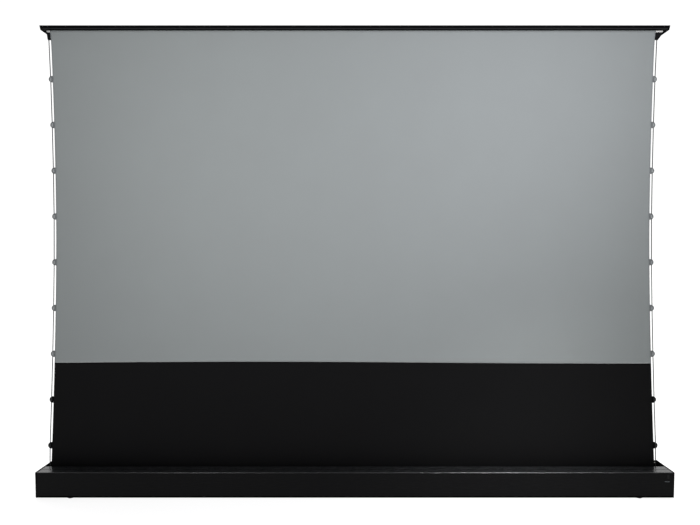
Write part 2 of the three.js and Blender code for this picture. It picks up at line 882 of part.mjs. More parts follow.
// The upper arm is the same channel with cross ribs
function upperArm() {
  const bays = armRibCount + 1;
  const span = armLength - 2 * armEndLength;
  const bay = (span - armRibCount * armRibWall) / bays;
  const pockets = Array.from({ length: bays }, (_, i) => {
    const start = armEndLength + i * (bay + armRibWall);
    return [start, start + bay];
  });
  return armBody(upperArmFront, pockets);
}

const pulleyMiddle = lowerArmFront + armDepth / 2;
const pulleyHalf = armDepth / 2 - forkEar - clearance;
const springStart = armEndLength + springPost + clearance;
const springEnd = springStart + 2 * springLead + springCurls * springPitch;

// One straight step at each end, and a coil between them that opens out in its first half turn
const springSteps = springCurls * springStepsPerCurl + 2;

function springCurve() {
  return new CurveOf((t) => {
    const step = t * springSteps;
    const turns = THREE.MathUtils.clamp((step - 1) / springStepsPerCurl, 0, springCurls);
    const leads = THREE.MathUtils.clamp(step, 0, 1) + THREE.MathUtils.clamp(step + 1 - springSteps, 0, 1);
    const radius = springRadius * Math.min(1, 2 * turns, 2 * (springCurls - turns));
    return new THREE.Vector3(
      springStart + springLead * leads + springPitch * turns,
      pulleyMiddle + radius * Math.sin(turns * 2 * Math.PI),
      radius * Math.cos(turns * 2 * Math.PI),
    );
  });
}

function armSpring() {
  return tubeAlong(springCurve(), springWire, springSides, springSteps);
}

// From the spring straight to the pulley's inner side, then round the pulley
function cableCurve() {
  const from = springEnd + clearance;
  const reach = armLength - from;
  const lean = Math.asin(cableTrackRadius / reach);
  const arc = THREE.MathUtils.degToRad(cableWrapDegrees);
  return new CurveOf((t) => {
    const step = t * (cableArcSteps + 1);
    const angle = Math.PI / 2 + lean - (arc * Math.max(0, step - 1)) / cableArcSteps;
    const onTrack = [armLength + cableTrackRadius * Math.cos(angle), cableTrackRadius * Math.sin(angle)];
    const share = Math.min(1, step);
    return new THREE.Vector3(
      THREE.MathUtils.lerp(from, onTrack[0], share),
      pulleyMiddle,
      THREE.MathUtils.lerp(0, onTrack[1], share),
    );
  });
}

function armCable() {
  return tubeAlong(cableCurve(), cableRadius, cableSides, cableArcSteps + 1);
}

function elbowPulley() {
  const [start, end] = [pulleyMiddle - pulleyHalf, pulleyMiddle + pulleyHalf];
  const floor = cableTrackRadius - cableRadius - clearance;
  return turned(
    ring(
      [
        [start, pulleyRadius],
        [start + pulleyFlange, pulleyRadius],
        [pulleyMiddle - cableRadius - clearance, floor],
        [pulleyMiddle + cableRadius + clearance, floor],
        [end - pulleyFlange, pulleyRadius],
        [end, pulleyRadius],
      ],
      pivotPinRadius + clearance,
    ),
    "y",
    [0, 0, 0],
  );
}

function elbowPin() {
  const front = lowerArmFront - clearance;
  const rear = upperArmFront + armDepth + clearance;
  const collar = [lowerArmFront + armDepth + clearance, upperArmFront - clearance];
  return turned(
    [
      [front - pinHeadWall, 0],
      [front - pinHeadWall, pinHeadRadius],
      [front, pinHeadRadius],
      [front, pivotPinRadius],
      [collar[0], pivotPinRadius],
      [collar[0], pinCollarRadius],
      [collar[1], pinCollarRadius],
      [collar[1], pivotPinRadius],
      [rear, pivotPinRadius],
      [rear, pinHeadRadius],
      [rear + pinHeadWall, pinHeadRadius],
      [rear + pinHeadWall, 0],
    ],
    "y",
    [0, 0, 0],
    pinSteps,
  );
}

// A folded steel clevis round an arm's end. away is +1 where its foot lies above the pivot
function pivotClevis(armFront, footDistance, away) {
  const inner = [armFront - clearance, armFront + armDepth + clearance];
  const outer = [inner[0] - pivotEarWall, inner[1] + pivotEarWall];
  const far = away * footDistance;
  const near = far - away * pivotEarWall;
  const tip = -away * (pivotEarRadius + overrun);
  const bent = outline([
    [outer[0], far],
    [outer[1], far],
    [outer[1], tip],
    [inner[1], tip],
    [inner[1], near],
    [inner[0], near],
    [inner[0], tip],
    [outer[0], tip],
  ]);
  const ears = new THREE.Shape();
  const lean = THREE.MathUtils.degToRad(pivotEarLean);
  ears.moveTo(-pivotFootHalf, far);
  ears.lineTo(-pivotFootHalf, near);
  if (away > 0) ears.absarc(0, 0, pivotEarRadius, Math.PI - lean, 2 * Math.PI + lean);
  else ears.absarc(0, 0, pivotEarRadius, Math.PI + lean, -lean, true);
  ears.lineTo(pivotFootHalf, near);
  ears.lineTo(pivotFootHalf, far);
  const clevis = common(
    alongX(bent, -pivotFootHalf, pivotFootHalf),
    alongY(ears, outer[0] - overrun, outer[1] + overrun),
  );
  const reach = [outer[0] - overrun, outer[1] + overrun];
  return cut(clevis, rod(...reach, pivotPinRadius + clearance, "y", [0, 0, 0], pinSteps));
}

function clevisPin(armFront) {
  const front = armFront - 2 * clearance - pivotEarWall;
  const rear = armFront + armDepth + 2 * clearance + pivotEarWall;
  return turned(
    [
      [front - pinHeadWall, 0],
      [front - pinHeadWall, pinHeadRadius],
      [front, pinHeadRadius],
      [front, pivotPinRadius],
      [rear, pivotPinRadius],
      [rear, pinHeadRadius],
      [rear + pinHeadWall, pinHeadRadius],
      [rear + pinHeadWall, 0],
    ],
    "y",
    [0, 0, 0],
    pinSteps,
  );
}

// The right side is drawn, and the left side is its mirror image
for (const [side, sign] of sides) {
  const half = new THREE.Group();
  half.scale.x = sign;
  screen.add(half);
  const atBase = new THREE.Group();
  atBase.position.set(armSpread, 0, basePivotHeight);
  const atLid = new THREE.Group();
  atLid.position.set(armSpread, 0, lidPivotHeight);
  const lower = new THREE.Group();
  lower.rotation.y = restAngle - Math.PI;
  const elbow = new THREE.Group();
  elbow.position.set(
    armSpread - armLength * Math.cos(restAngle),
    0,
    basePivotHeight + armLength * Math.sin(restAngle),
  );
  const upper = new THREE.Group();
  upper.rotation.y = -restAngle;
  half.add(atBase, atLid, elbow);
  atBase.add(lower);
  elbow.add(upper);
  const baseFoot = basePivotHeight - floorTop - clearance;
  const lidFoot = lidPivotDrop - lidWall - clearance;
  add(`base_clevis_${side}`, pivotClevis(lowerArmFront, baseFoot, -1), blackSteel, atBase);
  add(`base_pivot_pin_${side}`, clevisPin(lowerArmFront), zincSteel, atBase);
  add(`lower_arm_${side}`, lowerArm(), blackAnodised, lower);
  add(`arm_spring_${side}`, armSpring(), springSteel, lower);
  add(`arm_cable_${side}`, armCable(), zincSteel, lower);
  add(`elbow_pulley_${side}`, elbowPulley(), acetal, elbow);
  add(`elbow_pin_${side}`, elbowPin(), zincSteel, elbow);
  add(`upper_arm_${side}`, upperArm(), blackAnodised, upper);
  add(`lid_clevis_${side}`, pivotClevis(upperArmFront, lidFoot, 1), blackSteel, atLid);
  add(`lid_pivot_pin_${side}`, clevisPin(upperArmFront), zincSteel, atLid);
}
leastGap("arm_spring", springCurve(), 2 * springWire, Math.PI * (springRadius + springWire));

// Lid: a top plate with a skirt along each long edge, closed by a moulded cap at each end. A groove in the
// inner face of each skirt takes the plate's tongue
const plateTongueTop = lidUnder + plateTongueHeight;

function lidPlate() {
  const [front, rear] = [lidFront + skirtWall + clearance, lidRear - skirtWall - clearance];
  const reach = clearance + plateTongueDepth;
  const profile = outline([
    [front - reach, lidUnder],
    [rear + reach, lidUnder],
    [rear + reach, plateTongueTop],
    [rear, plateTongueTop],
    [rear, lidTop],
    [front, lidTop],
    [front, plateTongueTop],
    [front - reach, plateTongueTop],
  ]);
  return alongX(profile, -lidCapSeam + clearance, lidCapSeam - clearance);
}

// inward is +1 for the skirt in front, which also has a shadow groove along its outer face
function lidSkirt(outerY, inward) {
  const at = (depth, height) => [outerY + inward * depth, height];
  const slotFloor = skirtWall - plateTongueDepth - clearance;
  const grooveTop = lidTop - lipGrooveHeight;
  const grooveBottom = grooveTop - lipGrooveWidth;
  const shadowGroove = [
    at(0, grooveTop),
    at(lipGrooveDepth, grooveTop),
    at(lipGrooveDepth, grooveBottom),
    at(0, grooveBottom),
  ];
  const profile = outline([
    at(0, lipBottom),
    at(skirtWall, lipBottom),
    at(skirtWall, lidUnder - clearance),
    at(slotFloor, lidUnder - clearance),
    at(slotFloor, plateTongueTop + clearance),
    at(skirtWall, plateTongueTop + clearance),
    at(skirtWall, lidTop),
    at(lidEdgeRadius, lidTop),
    at(0, lidTop - lidEdgeRadius),
    ...(inward > 0 ? shadowGroove : []),
  ]);
  return alongX(profile, -lidCapSeam + clearance, lidCapSeam - clearance);
}

function lidCap() {
  const face = outline([
    [lidFront, lipBottom],
    [lidRear, lipBottom],
    [lidRear, lidTop - lidEdgeRadius],
    [lidRear - lidEdgeRadius, lidTop],
    [lidFront + lidEdgeRadius, lidTop],
    [lidFront, lidTop - lidEdgeRadius],
  ]);
  const plate = leanIn(alongX(face, lidCapInner, lidHalf), lidHalf, lipBottom, lipHeight, lidCapDraft);
  const rimOutline = outline([
    [lidFront, lipBottom],
    [lidFront + skirtWall, lipBottom],
    [lidFront + skirtWall, lidUnder],
    [lidRear - skirtWall, lidUnder],
    [lidRear - skirtWall, lipBottom],
    [lidRear, lipBottom],
    [lidRear, lidTop - lidEdgeRadius],
    [lidRear - lidEdgeRadius, lidTop],
    [lidFront + lidEdgeRadius, lidTop],
    [lidFront, lidTop - lidEdgeRadius],
  ]);
  const rim = alongX(rimOutline, lidCapSeam, lidCapInner + overrun);
  const tongueStart = lidCapSeam - lidTongueLength;
  const top = lidUnder - clearance;
  const tongues = [
    [lidFront + skirtWall + clearance, -lidTongueInset],
    [hemY + hemOuter + lidTongueInset, lidRear - skirtWall - clearance],
  ].flatMap(([y0, y1]) => [
    block(tongueStart, lidCapInner + overrun, y0, y1, top - lidTongueWall, top),
    block(lidCapSeam, lidCapInner + overrun, y0, y1, top - lidTongueWall, lidUnder + overrun / 2),
  ]);
  return join(plate, rim, ...tongues);
}

// The rod in the sheet's hem, with a sleeve on each end as thick as the hem, which keeps the sheet in place
function hemRod() {
  const rodEnd = lidCapInner - clearance;
  const sleeveStart = edgeHalfWidth(hemZ) + rodSleeveGap;
  const axis = [0, hemY, hemZ];
  return join(
    rod(-rodEnd, rodEnd, hemRodRadius, "x", axis, pinSteps),
    rod(-rodEnd, fabricShift - sleeveStart, hemOuter, "x", axis, pinSteps),
    rod(fabricShift + sleeveStart, rodEnd, hemOuter, "x", axis, pinSteps),
  );
}

// The gusset hangs from the lid behind the rod, carries the rod's sleeve on its shelf and holds the cord's end
function gusset(sign) {
  const along = (x) => sign * (x - fabricShift);
  const cordAt = cordTopOffset;
  const inner = edgeHalfWidth(hemZ) + gussetInnerGap;
  const outer = along(sign * (lidCapInner - clearance));
  const half = gussetWeb / 2;
  const back = hemY + hemOuter + clearance;
  const shelfBottom = gussetTop - gussetShelf;
  const shelf = block(inner, outer, -half, back + gussetWeb, shelfBottom, gussetTop);
  const spine = block(inner, outer, back, back + gussetWeb, shelfBottom, lidUnder - clearance);
  const bossBottom = gussetTip - clearance;
  const tipOuter = cordAt + gussetBossRadius;
  const web = (inset) =>
    outline([
      [inner + inset, shelfBottom + overrun - inset],
      [inner + inset, bossBottom + inset],
      [tipOuter - inset, bossBottom + inset],
      [outer - inset, shelfBottom + overrun - inset],
    ]);
  const plate = cut(
    alongY(web(0), -half, half),
    alongY(web(gussetRim), -half - overrun, -half + gussetRecess),
    alongY(web(gussetRim), half - gussetRecess, half + overrun),
  );
  const boreEnd = gussetTip + anchorDepth;
  const boss = rod(bossBottom, boreEnd + gussetWeb, gussetBossRadius, "z", [cordAt, 0, 0], smallSteps);
  const bore = rod(bossBottom - overrun, boreEnd, cordBore, "z", [cordAt, 0, 0], smallSteps);
  const body = cut(join(shelf, spine, plate, boss), bore);
  return sign > 0 ? body.translate(fabricShift, 0, 0) : mirrored(body, 0).translate(fabricShift, 0, 0);
}

add("lid_top_plate", lidPlate(), blackAnodised);
add("lid_front_skirt", lidSkirt(lidFront, 1), blackAnodised);
add("lid_rear_skirt", lidSkirt(lidRear, -1), blackAnodised);
for (const [side, sign] of sides) {
  add(`lid_cap_${side}`, lidCap(), blackAbs).scale.x = sign;
  add(`tension_gusset_${side}`, gusset(sign), blackAbs);
}
add("hem_rod", hemRod(), bareAluminium);

// Sheet: the grey viewing area, hemmed round the rod, and the black drop below it
function sheetOutline(bottom, top) {
  const right = [];
  for (let i = 0; i <= edgeSteps; i++) {
    const height = THREE.MathUtils.lerp(bottom, top, i / edgeSteps);
    right.push([fabricShift + edgeHalfWidth(height), height]);
  }
  const left = right.map(([x, z]) => [2 * fabricShift - x, z]).reverse();
  return outline([...right, ...left]);
}

function greySheet() {
  const sweep = THREE.MathUtils.degToRad(hemLoopDegrees);
  const shape = new THREE.Shape();
  shape.moveTo(0, borderHeight);
  shape.lineTo(sheetThickness, borderHeight);
  shape.absarc(hemY, hemZ, hemOuter - sheetThickness, Math.PI, Math.PI - sweep, true);
  shape.absarc(hemY, hemZ, hemOuter, Math.PI - sweep, Math.PI);
  const hemmed = alongX(shape, fabricShift - lidHalf, fabricShift + lidHalf, pinSteps);
  const flat = sheetOutline(borderHeight, hemZ + hemOuter + overrun);
  return common(hemmed, alongY(flat, -overrun, 2 * hemOuter + overrun));
}

function blackDrop() {
  return alongY(sheetOutline(sheetBottom, borderHeight), 0, sheetThickness);
}

// Tab strip, drawn for the right edge: a welded band behind the sheet's edge with a lug for each tab. The lug
// leaves the edge in a short hollow curve and ends round and blunt, and the cord runs through its boss
const tabHeights = Array.from({ length: tabCount }, (_, i) => lowestTab + i * tabPitch);

function tabShape(height) {
  const edge = edgeHalfWidth(height);
  const endAt = edge + tabEndOffset;
  const shape = new THREE.Shape();
  const turn = THREE.MathUtils.degToRad(tabEndDegrees);
  const end = [endAt + tabEndRadius * Math.cos(turn), tabEndRadius * Math.sin(turn)];
  shape.moveTo(edge - bandWidth / 2, height - tabHalfHeight);
  shape.lineTo(edge, height - tabHalfHeight);
  shape.quadraticCurveTo(edge + tabEndOffset / 2, height - end[1], end[0], height - end[1]);
  shape.absarc(endAt, height, tabEndRadius, -turn, turn);
  shape.quadraticCurveTo(edge + tabEndOffset / 2, height + end[1], edge, height + tabHalfHeight);
  shape.lineTo(edge - bandWidth / 2, height + tabHalfHeight);
  return shape;
}

function tabStrip(bottom, top, heights) {
  const [near, far] = [sheetThickness + clearance, sheetThickness + clearance + bandThickness];
  const edge = [];
  for (let i = 0; i <= edgeSteps; i++) {
    const height = THREE.MathUtils.lerp(bottom, top, i / edgeSteps);
    edge.push([edgeHalfWidth(height), height]);
  }
  const inner = edge.map(([x, z]) => [x - bandWidth, z]).reverse();
  const band = alongY(outline([...edge, ...inner]), near, far);
  const lugs = heights.flatMap((height) => {
    const cordAt = edgeHalfWidth(height) + cordOffset;
    const reach = [height - tabBossHalfLength, height + tabBossHalfLength];
    return [
      alongY(tabShape(height), near, far, tabSteps),
      rod(...reach, tabBossRadius, "z", [cordAt, 0, 0], smallSteps),
    ];
  });
  const bores = heights.map((height) => {
    const cordAt = edgeHalfWidth(height) + cordOffset;
    const reach = [height - tabHalfHeight, height + tabHalfHeight];
    return rod(...reach, tabBoreRadius, "z", [cordAt, 0, 0], cordSides);
  });
  return cut(join(band, ...lugs), ...bores).translate(fabricShift, 0, 0);
}

// Tension cord, drawn for the right edge: straight from tab to tab, from the gusset down to the spool
function cordCurve() {
  const stations = [
    [cordTopOffset, cordTop],
    [cordTopOffset, gussetTip - clearance],
    ...tabHeights.map((height) => [edgeHalfWidth(height) + cordOffset, height]).reverse(),
    [cordFoot, baseTop],
    [cordFoot, rollerHeight + clearance],
  ];
  const stretches = stations.length - 1;
  const curve = new CurveOf((t) => {
    const at = t * stretches;
    const i = THREE.MathUtils.clamp(Math.floor(at), 0, stretches - 1);
    return new THREE.Vector3(
      fabricShift + THREE.MathUtils.lerp(stations[i][0], stations[i + 1][0], at - i),
      0,
      THREE.MathUtils.lerp(stations[i][1], stations[i + 1][1], at - i),
    );
  });
  return { curve, stretches };
}

function tensionCord() {
  const { curve, stretches } = cordCurve();
  return tubeAlong(curve, cordRadius, cordSides, stretches * cordStepsPerStretch);
}

add("grey_sheet", greySheet(), greySheeting);
add("black_drop", blackDrop(), blackSheeting);
const blackStrip = tabStrip(sheetBottom + bandTopGap / 2, borderHeight, tabHeights.slice(0, blackTabCount));
const greyStrip = tabStrip(borderHeight, hemZ - bandTopGap, tabHeights.slice(blackTabCount));
add("black_tab_strip_right", blackStrip, blackSheeting);
add("black_tab_strip_left", mirrored(blackStrip, fabricShift), blackSheeting);
add("grey_tab_strip_right", greyStrip, tabGrey);
add("grey_tab_strip_left", mirrored(greyStrip, fabricShift), tabGrey);
add("tension_cord_right", tensionCord(), braidedCord);
add("tension_cord_left", mirrored(tensionCord(), fabricShift), braidedCord);

// Receiver window and status light in the front cover: a lens that fills its opening, and a flange behind it
function frontLens(width, height, x, z) {
  const [across, up] = [width / 2, height / 2];
  const inner = baseFront + housingWall + clearance;
  const lensEnd = inner + trimFlangeWall / 2;
  const lens = windowOpening(across - clearance, up - clearance, x, z, baseFront + clearance, lensEnd);
  const flange = windowOpening(across + trimFlange, up + trimFlange, x, z, inner, inner + trimFlangeWall);
  return join(lens, flange);
}

add("receiver_window", frontLens(windowWidth, windowHeight, windowX, windowZ), tintedWindow);
add("status_light", frontLens(lightLength, lightHeight, lightX, lightZ), milkyLens);

// Power panel in the tray's rear wall: the mains inlet, the rocker's opening and the button's bore
const panelX = baseCapInner - panelFromEnd;
const panelBack = baseRear - panelInset;
const panelFront = panelBack - panelWall;
const inletX = panelX + panelSpacing;
const rockerX = panelX;
const buttonX = panelX - panelSpacing;
const rockerPivotY = panelBack - rockerDepth;

function powerPanel() {
  const plate = alongY(panelOpening(-clearance), panelFront, panelBack, cornerSteps);
  const wellFront = panelBack - inletDepth;
  const middle = panelCentreHeight;
  const [wide, high] = [inletWidth / 2, inletHeight / 2];
  const [shroudWide, shroudHigh] = [wide + inletWall, high + inletWall];
  const shroud = block(inletX - shroudWide, inletX + shroudWide, wellFront - inletWall, panelBack - overrun,
    middle - shroudHigh, middle + shroudHigh);
  const well = alongY(
    outline([
      [inletX - wide, middle - high],
      [inletX + wide, middle - high],
      [inletX + wide, middle + high / 2],
      [inletX + wide / 2, middle + high],
      [inletX - wide / 2, middle + high],
      [inletX - wide, middle + high / 2],
    ]),
    wellFront,
    panelBack + overrun,
  );
  const reach = [panelFront - rockerDepth - overrun, panelBack + overrun];
  const [across, up] = [rockerWidth / 2 + clearance, rockerHalfHeight + rockerPlay];
  const [cheekAcross, cheekUp] = [across + inletWall, up + inletWall];
  const cheeks = block(rockerX - cheekAcross, rockerX + cheekAcross, rockerPivotY - 2 * rockerAxleRadius,
    panelFront + overrun, middle - cheekUp, middle + cheekUp);
  const rockerHole = block(rockerX - across, rockerX + across, rockerPivotY - rockerDepth,
    panelBack + overrun, middle - up, middle + up);
  const axleReach = [rockerX - cheekAcross - overrun, rockerX + cheekAcross + overrun];
  const axleAt = [0, rockerPivotY, middle];
  const axleBore = rod(...axleReach, rockerAxleRadius + clearance, "x", axleAt, pinSteps);
  const buttonBore = rod(...reach, buttonRadius + clearance, "y", [buttonX, 0, middle], pinSteps);
  const body = cut(join(plate, shroud, cheeks), well, rockerHole, axleBore, buttonBore);
  const pins = [-1, 0, 1].map((place) => {
    const at = [inletX + place * inletPinSpacing, 0, middle + (place ? -inletPinRise : inletPinRise)];
    return rod(wellFront - overrun, wellFront + inletPinLength, inletPinRadius, "y", at, smallSteps);
  });
  return join(body, ...pins);
}

// Two flat faces that meet over the axle at a blunt angle, pressed in at the top at rest
function rocker() {
  const tilt = THREE.MathUtils.degToRad(rockerTiltDegrees);
  const face = rockerDepth - clearance * 2;
  const rise = rockerHalfHeight * Math.tan(tilt);
  const profile = outline([
    [-rockerAxleRadius, -rockerAxleRadius],
    [face - rise, -rockerHalfHeight],
    [face, -rockerHalfHeight],
    [face - rise, 0],
    [face, rockerHalfHeight],
    [face - rise, rockerHalfHeight],
    [-rockerAxleRadius, rockerAxleRadius],
  ]);
  const half = rockerWidth / 2;
  const paddle = alongX(profile, -half, half);
  const axle = rod(-half - inletWall, half + inletWall, rockerAxleRadius, "x", [0, 0, 0], pinSteps);
  return join(paddle, axle);
}

function liftButton() {
  const flangeBack = panelFront - clearance;
  return turned(
    [
      [flangeBack - buttonFlangeWall, 0],
      [flangeBack - buttonFlangeWall, buttonFlangeRadius],
      [flangeBack, buttonFlangeRadius],
      [flangeBack, buttonRadius],
      [panelBack, buttonRadius],
      [panelBack, 0],
    ],
    "y",
    [buttonX, 0, panelCentreHeight],
    pinSteps,
  );
}

function controlBox() {
  const right = panelX - panelWidth / 2 - controlBoxGap;
  const left = right - controlBoxLength;
  const back = baseRear - housingWall - clearance;
  const bottom = trayPort[1] + screwPortRadius + clearance;
  const face = roundedBox(back - controlBoxDepth, bottom, back, bottom + controlBoxHeight, controlBoxCorner);
  const shell = alongX(face, left, right, cornerSteps);
  const count = Math.floor((controlBoxLength - controlBoxRibPitch) / controlBoxRibPitch);
  const grooves = Array.from({ length: count }, (_, i) => {
    const x = left + (i + 1) * controlBoxRibPitch;
    const top = bottom + controlBoxHeight;
    return block(x, x + controlBoxRib, back - controlBoxDepth - overrun, back + overrun, top - controlBoxRib,
      top + overrun);
  });
  return cut(shell, ...grooves);
}

add("power_panel", powerPanel(), blackAbs);
const rockerMesh = add("power_rocker", rocker(), blackAbs);
rockerMesh.position.set(rockerX, rockerPivotY, panelCentreHeight);
rockerMesh.rotation.x = THREE.MathUtils.degToRad(rockerTiltDegrees);
add("lift_button", liftButton(), blackAbs);
add("control_box", controlBox(), blackAbs);

export default screen;
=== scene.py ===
import json
import math

import bmesh
import bpy
import numpy as np
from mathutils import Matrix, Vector


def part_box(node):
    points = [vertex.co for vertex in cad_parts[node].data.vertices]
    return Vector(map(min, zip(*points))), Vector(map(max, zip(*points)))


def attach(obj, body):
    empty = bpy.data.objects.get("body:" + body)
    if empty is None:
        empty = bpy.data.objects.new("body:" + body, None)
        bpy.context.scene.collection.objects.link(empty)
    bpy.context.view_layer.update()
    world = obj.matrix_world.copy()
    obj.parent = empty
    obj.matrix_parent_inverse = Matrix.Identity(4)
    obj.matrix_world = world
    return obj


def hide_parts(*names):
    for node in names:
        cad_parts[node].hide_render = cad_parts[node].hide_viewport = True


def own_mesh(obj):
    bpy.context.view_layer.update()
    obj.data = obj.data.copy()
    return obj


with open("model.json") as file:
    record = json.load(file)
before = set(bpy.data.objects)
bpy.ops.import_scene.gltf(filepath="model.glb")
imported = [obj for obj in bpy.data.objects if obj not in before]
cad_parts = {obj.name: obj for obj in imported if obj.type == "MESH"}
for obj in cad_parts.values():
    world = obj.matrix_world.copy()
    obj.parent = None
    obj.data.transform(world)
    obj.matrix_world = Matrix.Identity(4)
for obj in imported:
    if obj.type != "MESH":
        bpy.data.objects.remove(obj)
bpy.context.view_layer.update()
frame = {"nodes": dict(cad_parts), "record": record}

# Sizes of the projection screen in metres, most of them its solids' own
MM = 0.001
TURN = 2 * math.pi
SIDES = {"left": -1, "right": 1}
CLEARANCE = 0.3 * MM

# Housing with its end caps, and the gussets that hang from the lid
BASE_HALF, BASE_TOP, BASE_FRONT, HOUSING_HEIGHT = 1398 * MM, 114 * MM, -82.5 * MM, 110 * MM
CAP_DRAFT = 3 * MM
GUSSET_TIP = 2032.4 * MM

# Sheet: black drop up to the border, grey from there round the hem rod
FABRIC_X = -9 * MM
SHEET_THICKNESS = 0.5 * MM
SHEET_BOTTOM, BORDER_Z = 57.3 * MM, 581.993 * MM
WAIST_Z, WAIST_HALF = 1131.2082 * MM, 1335.4 * MM
HEM_Y, HEM_Z, HEM_RADIUS, HEM_LOOP = 5.8 * MM, 2072.4 * MM, 5.8 * MM, math.radians(230)
# Where the paler band of painted light on the hem begins, just under the rod
HEM_PAINTED_FROM_Z = 2066.5 * MM

# Roller
ROLLER_Y, ROLLER_Z = -31.4875 * MM, 57 * MM
WINDING_RADIUS, WINDING_PITCH, LAST_TURNS = 31.4875 * MM, 0.95 * MM, 1.25
TUBE_BORE, TUBE_RADIUS, SPOOL_RADIUS = 28.4 * MM, 30 * MM, 40 * MM

# Tabs, the cords through them, and the braid that is drawn round each cord
TAB_HEIGHTS = (208 + 206 * np.arange(9)) * MM
BLACK_TABS = 2
TAB_HALF_HEIGHT, TAB_END_RADIUS = 15 * MM, 9.5 * MM
TAB_END_OFFSET, TAB_END_TURN = 6 * MM, math.radians(75)
BAND_WIDTH, BAND_THICKNESS = 14 * MM, 0.8 * MM
CORD_OFFSET, CORD_RADIUS, BRAID_RADIUS = 9 * MM, 1.5 * MM, 1.9 * MM
CORD_TOP, CORD_FOOT = 2041.4 * MM, 1363.5 * MM

# Arms: the lower ones stand in front of the upper ones
ARM_SPREAD, ARM_DEPTH, LOWER_ARM_FRONT, UPPER_ARM_FRONT = 1060 * MM, 20 * MM, 14 * MM, 38 * MM
LOWER_ARM_Y, UPPER_ARM_Y = LOWER_ARM_FRONT + ARM_DEPTH / 2, UPPER_ARM_FRONT + ARM_DEPTH / 2
BASE_PIVOT_Z, LID_PIVOT_Z = 50 * MM, 2041 * MM
REST_ANGLE = math.radians(80.28)
ARM_LENGTH = (LID_PIVOT_Z - BASE_PIVOT_Z) / 2 / math.sin(REST_ANGLE)

FOOT_FLARE, HEM_FLARE, CORNER_FLARE = 24 * MM, 25 * MM, 4 * MM
EDGE_POWER, CORNER_POWER = 1.7, 30


def half_width(height):
    """Half the sheet's width at a height: a power curve of 1.7 down from the waist to the roller and up
    from it to the hem, with a short flare of power 30 under the hem."""
    height = np.asarray(height, float)
    down = np.clip((WAIST_Z - height) / (WAIST_Z - ROLLER_Z), 0, None)
    up = np.clip((height - WAIST_Z) / (HEM_Z - WAIST_Z), 0, 1)
    flare = FOOT_FLARE * down**EDGE_POWER + HEM_FLARE * up**EDGE_POWER
    return WAIST_HALF + flare + CORNER_FLARE * up**CORNER_POWER


def cap_face(height):
    """How far out an end cap's face stands at a height: it draws in by 3 mm from its top to its foot."""
    return BASE_HALF - CAP_DRAFT * (BASE_TOP - height) / HOUSING_HEIGHT


# Camera, where the photograph was taken from
camera_data = bpy.data.cameras.new("photo_camera")
camera_data.sensor_width = 36
camera_data.lens = 32.19
camera_data.shift_x = -0.0069
camera_data.shift_y = -0.0191
camera_data.clip_start, camera_data.clip_end = 0.05, 60
photo_camera = bpy.data.objects.new("photo_camera", camera_data)
photo_camera.location = (0, -2.8185, 1.091)
photo_camera.rotation_euler = (math.radians(90), 0, 0)
bpy.context.scene.collection.objects.link(photo_camera)
bpy.context.scene.camera = photo_camera


# Materials
def linear(code):
    """The sRGB colour 0xRRGGBB as linear red, green, blue and 1."""
    parts = [((code >> shift) & 255) / 255 for shift in (16, 8, 0)]
    return (*(p / 12.92 if p <= 0.04045 else ((p + 0.055) / 1.055) ** 2.4 for p in parts), 1)


def add_node(tree, kind, inputs=None, **settings):
    """One shader node. A socket among its inputs is linked, anything else is set on the node itself."""
    made = tree.nodes.new(kind)
    for key, value in settings.items():
        setattr(made, key, value)
    for key, value in (inputs or {}).items():
        if isinstance(value, bpy.types.NodeSocket):
            tree.links.new(value, made.inputs[key])
        else:
            made.inputs[key].default_value = value
    return made


def start_material(name, gloss=0.5, **shader):
    """A material with one Principled shader, whose even values are set on its own sockets."""
    material = bpy.data.materials.new(name)
    material.use_nodes = True
    tree = material.node_tree
    tree.nodes.clear()
    skin = add_node(tree, "ShaderNodeBsdfPrincipled", {"Specular IOR Level": gloss, **shader})
    add_node(tree, "ShaderNodeOutputMaterial", {"Surface": skin.outputs[0]})
    return material, tree, skin


def join_finish(tree, skin, share, colours, roughness, height, depth):
    """Links a finish to its shader: two colours mixed by share, a roughness, and height as a relief."""
    ends = {"Factor": share, 6: linear(colours[0]), 7: linear(colours[1])}
    tint = add_node(tree, "ShaderNodeMix", ends, data_type="RGBA")
    relief = add_node(tree, "ShaderNodeBump", {"Height": height, "Distance": depth, "Strength": 1.0})
    tree.links.new(tint.outputs[2], skin.inputs["Base Color"])
    tree.links.new(roughness, skin.inputs["Roughness"])
    tree.links.new(relief.outputs[0], skin.inputs["Normal"])


def rigid_finish(name, colours, roughness, patch, grain, depth, stretch=(1, 1, 1), **shader):
    """A hard finish: two close colours and two roughnesses in patches of the size patch, and a grain of
    the size grain raised by depth. stretch draws the grain out, as drawn or turned metal has it."""
    material, tree, skin = start_material(name, **shader)
    place = add_node(tree, "ShaderNodeTexCoord").outputs["Object"]
    squeeze = {"Vector": place, "Scale": [1 / s for s in stretch]}
    drawn = add_node(tree, "ShaderNodeMapping", squeeze).outputs[0]
    blotches = {"Vector": place, "Scale": 1 / patch, "Detail": 3, "Roughness": 0.55}
    blotch = add_node(tree, "ShaderNodeTexNoise", blotches).outputs[0]
    grains = {"Vector": drawn, "Scale": 1 / grain, "Detail": 2, "Roughness": 0.6}
    fine = add_node(tree, "ShaderNodeTexNoise", grains).outputs[0]
    span = {"Value": fine, "To Min": roughness[0], "To Max": roughness[1]}
    dull = add_node(tree, "ShaderNodeMapRange", span).outputs[0]
    join_finish(tree, skin, blotch, colours, dull, fine, depth)
    return material


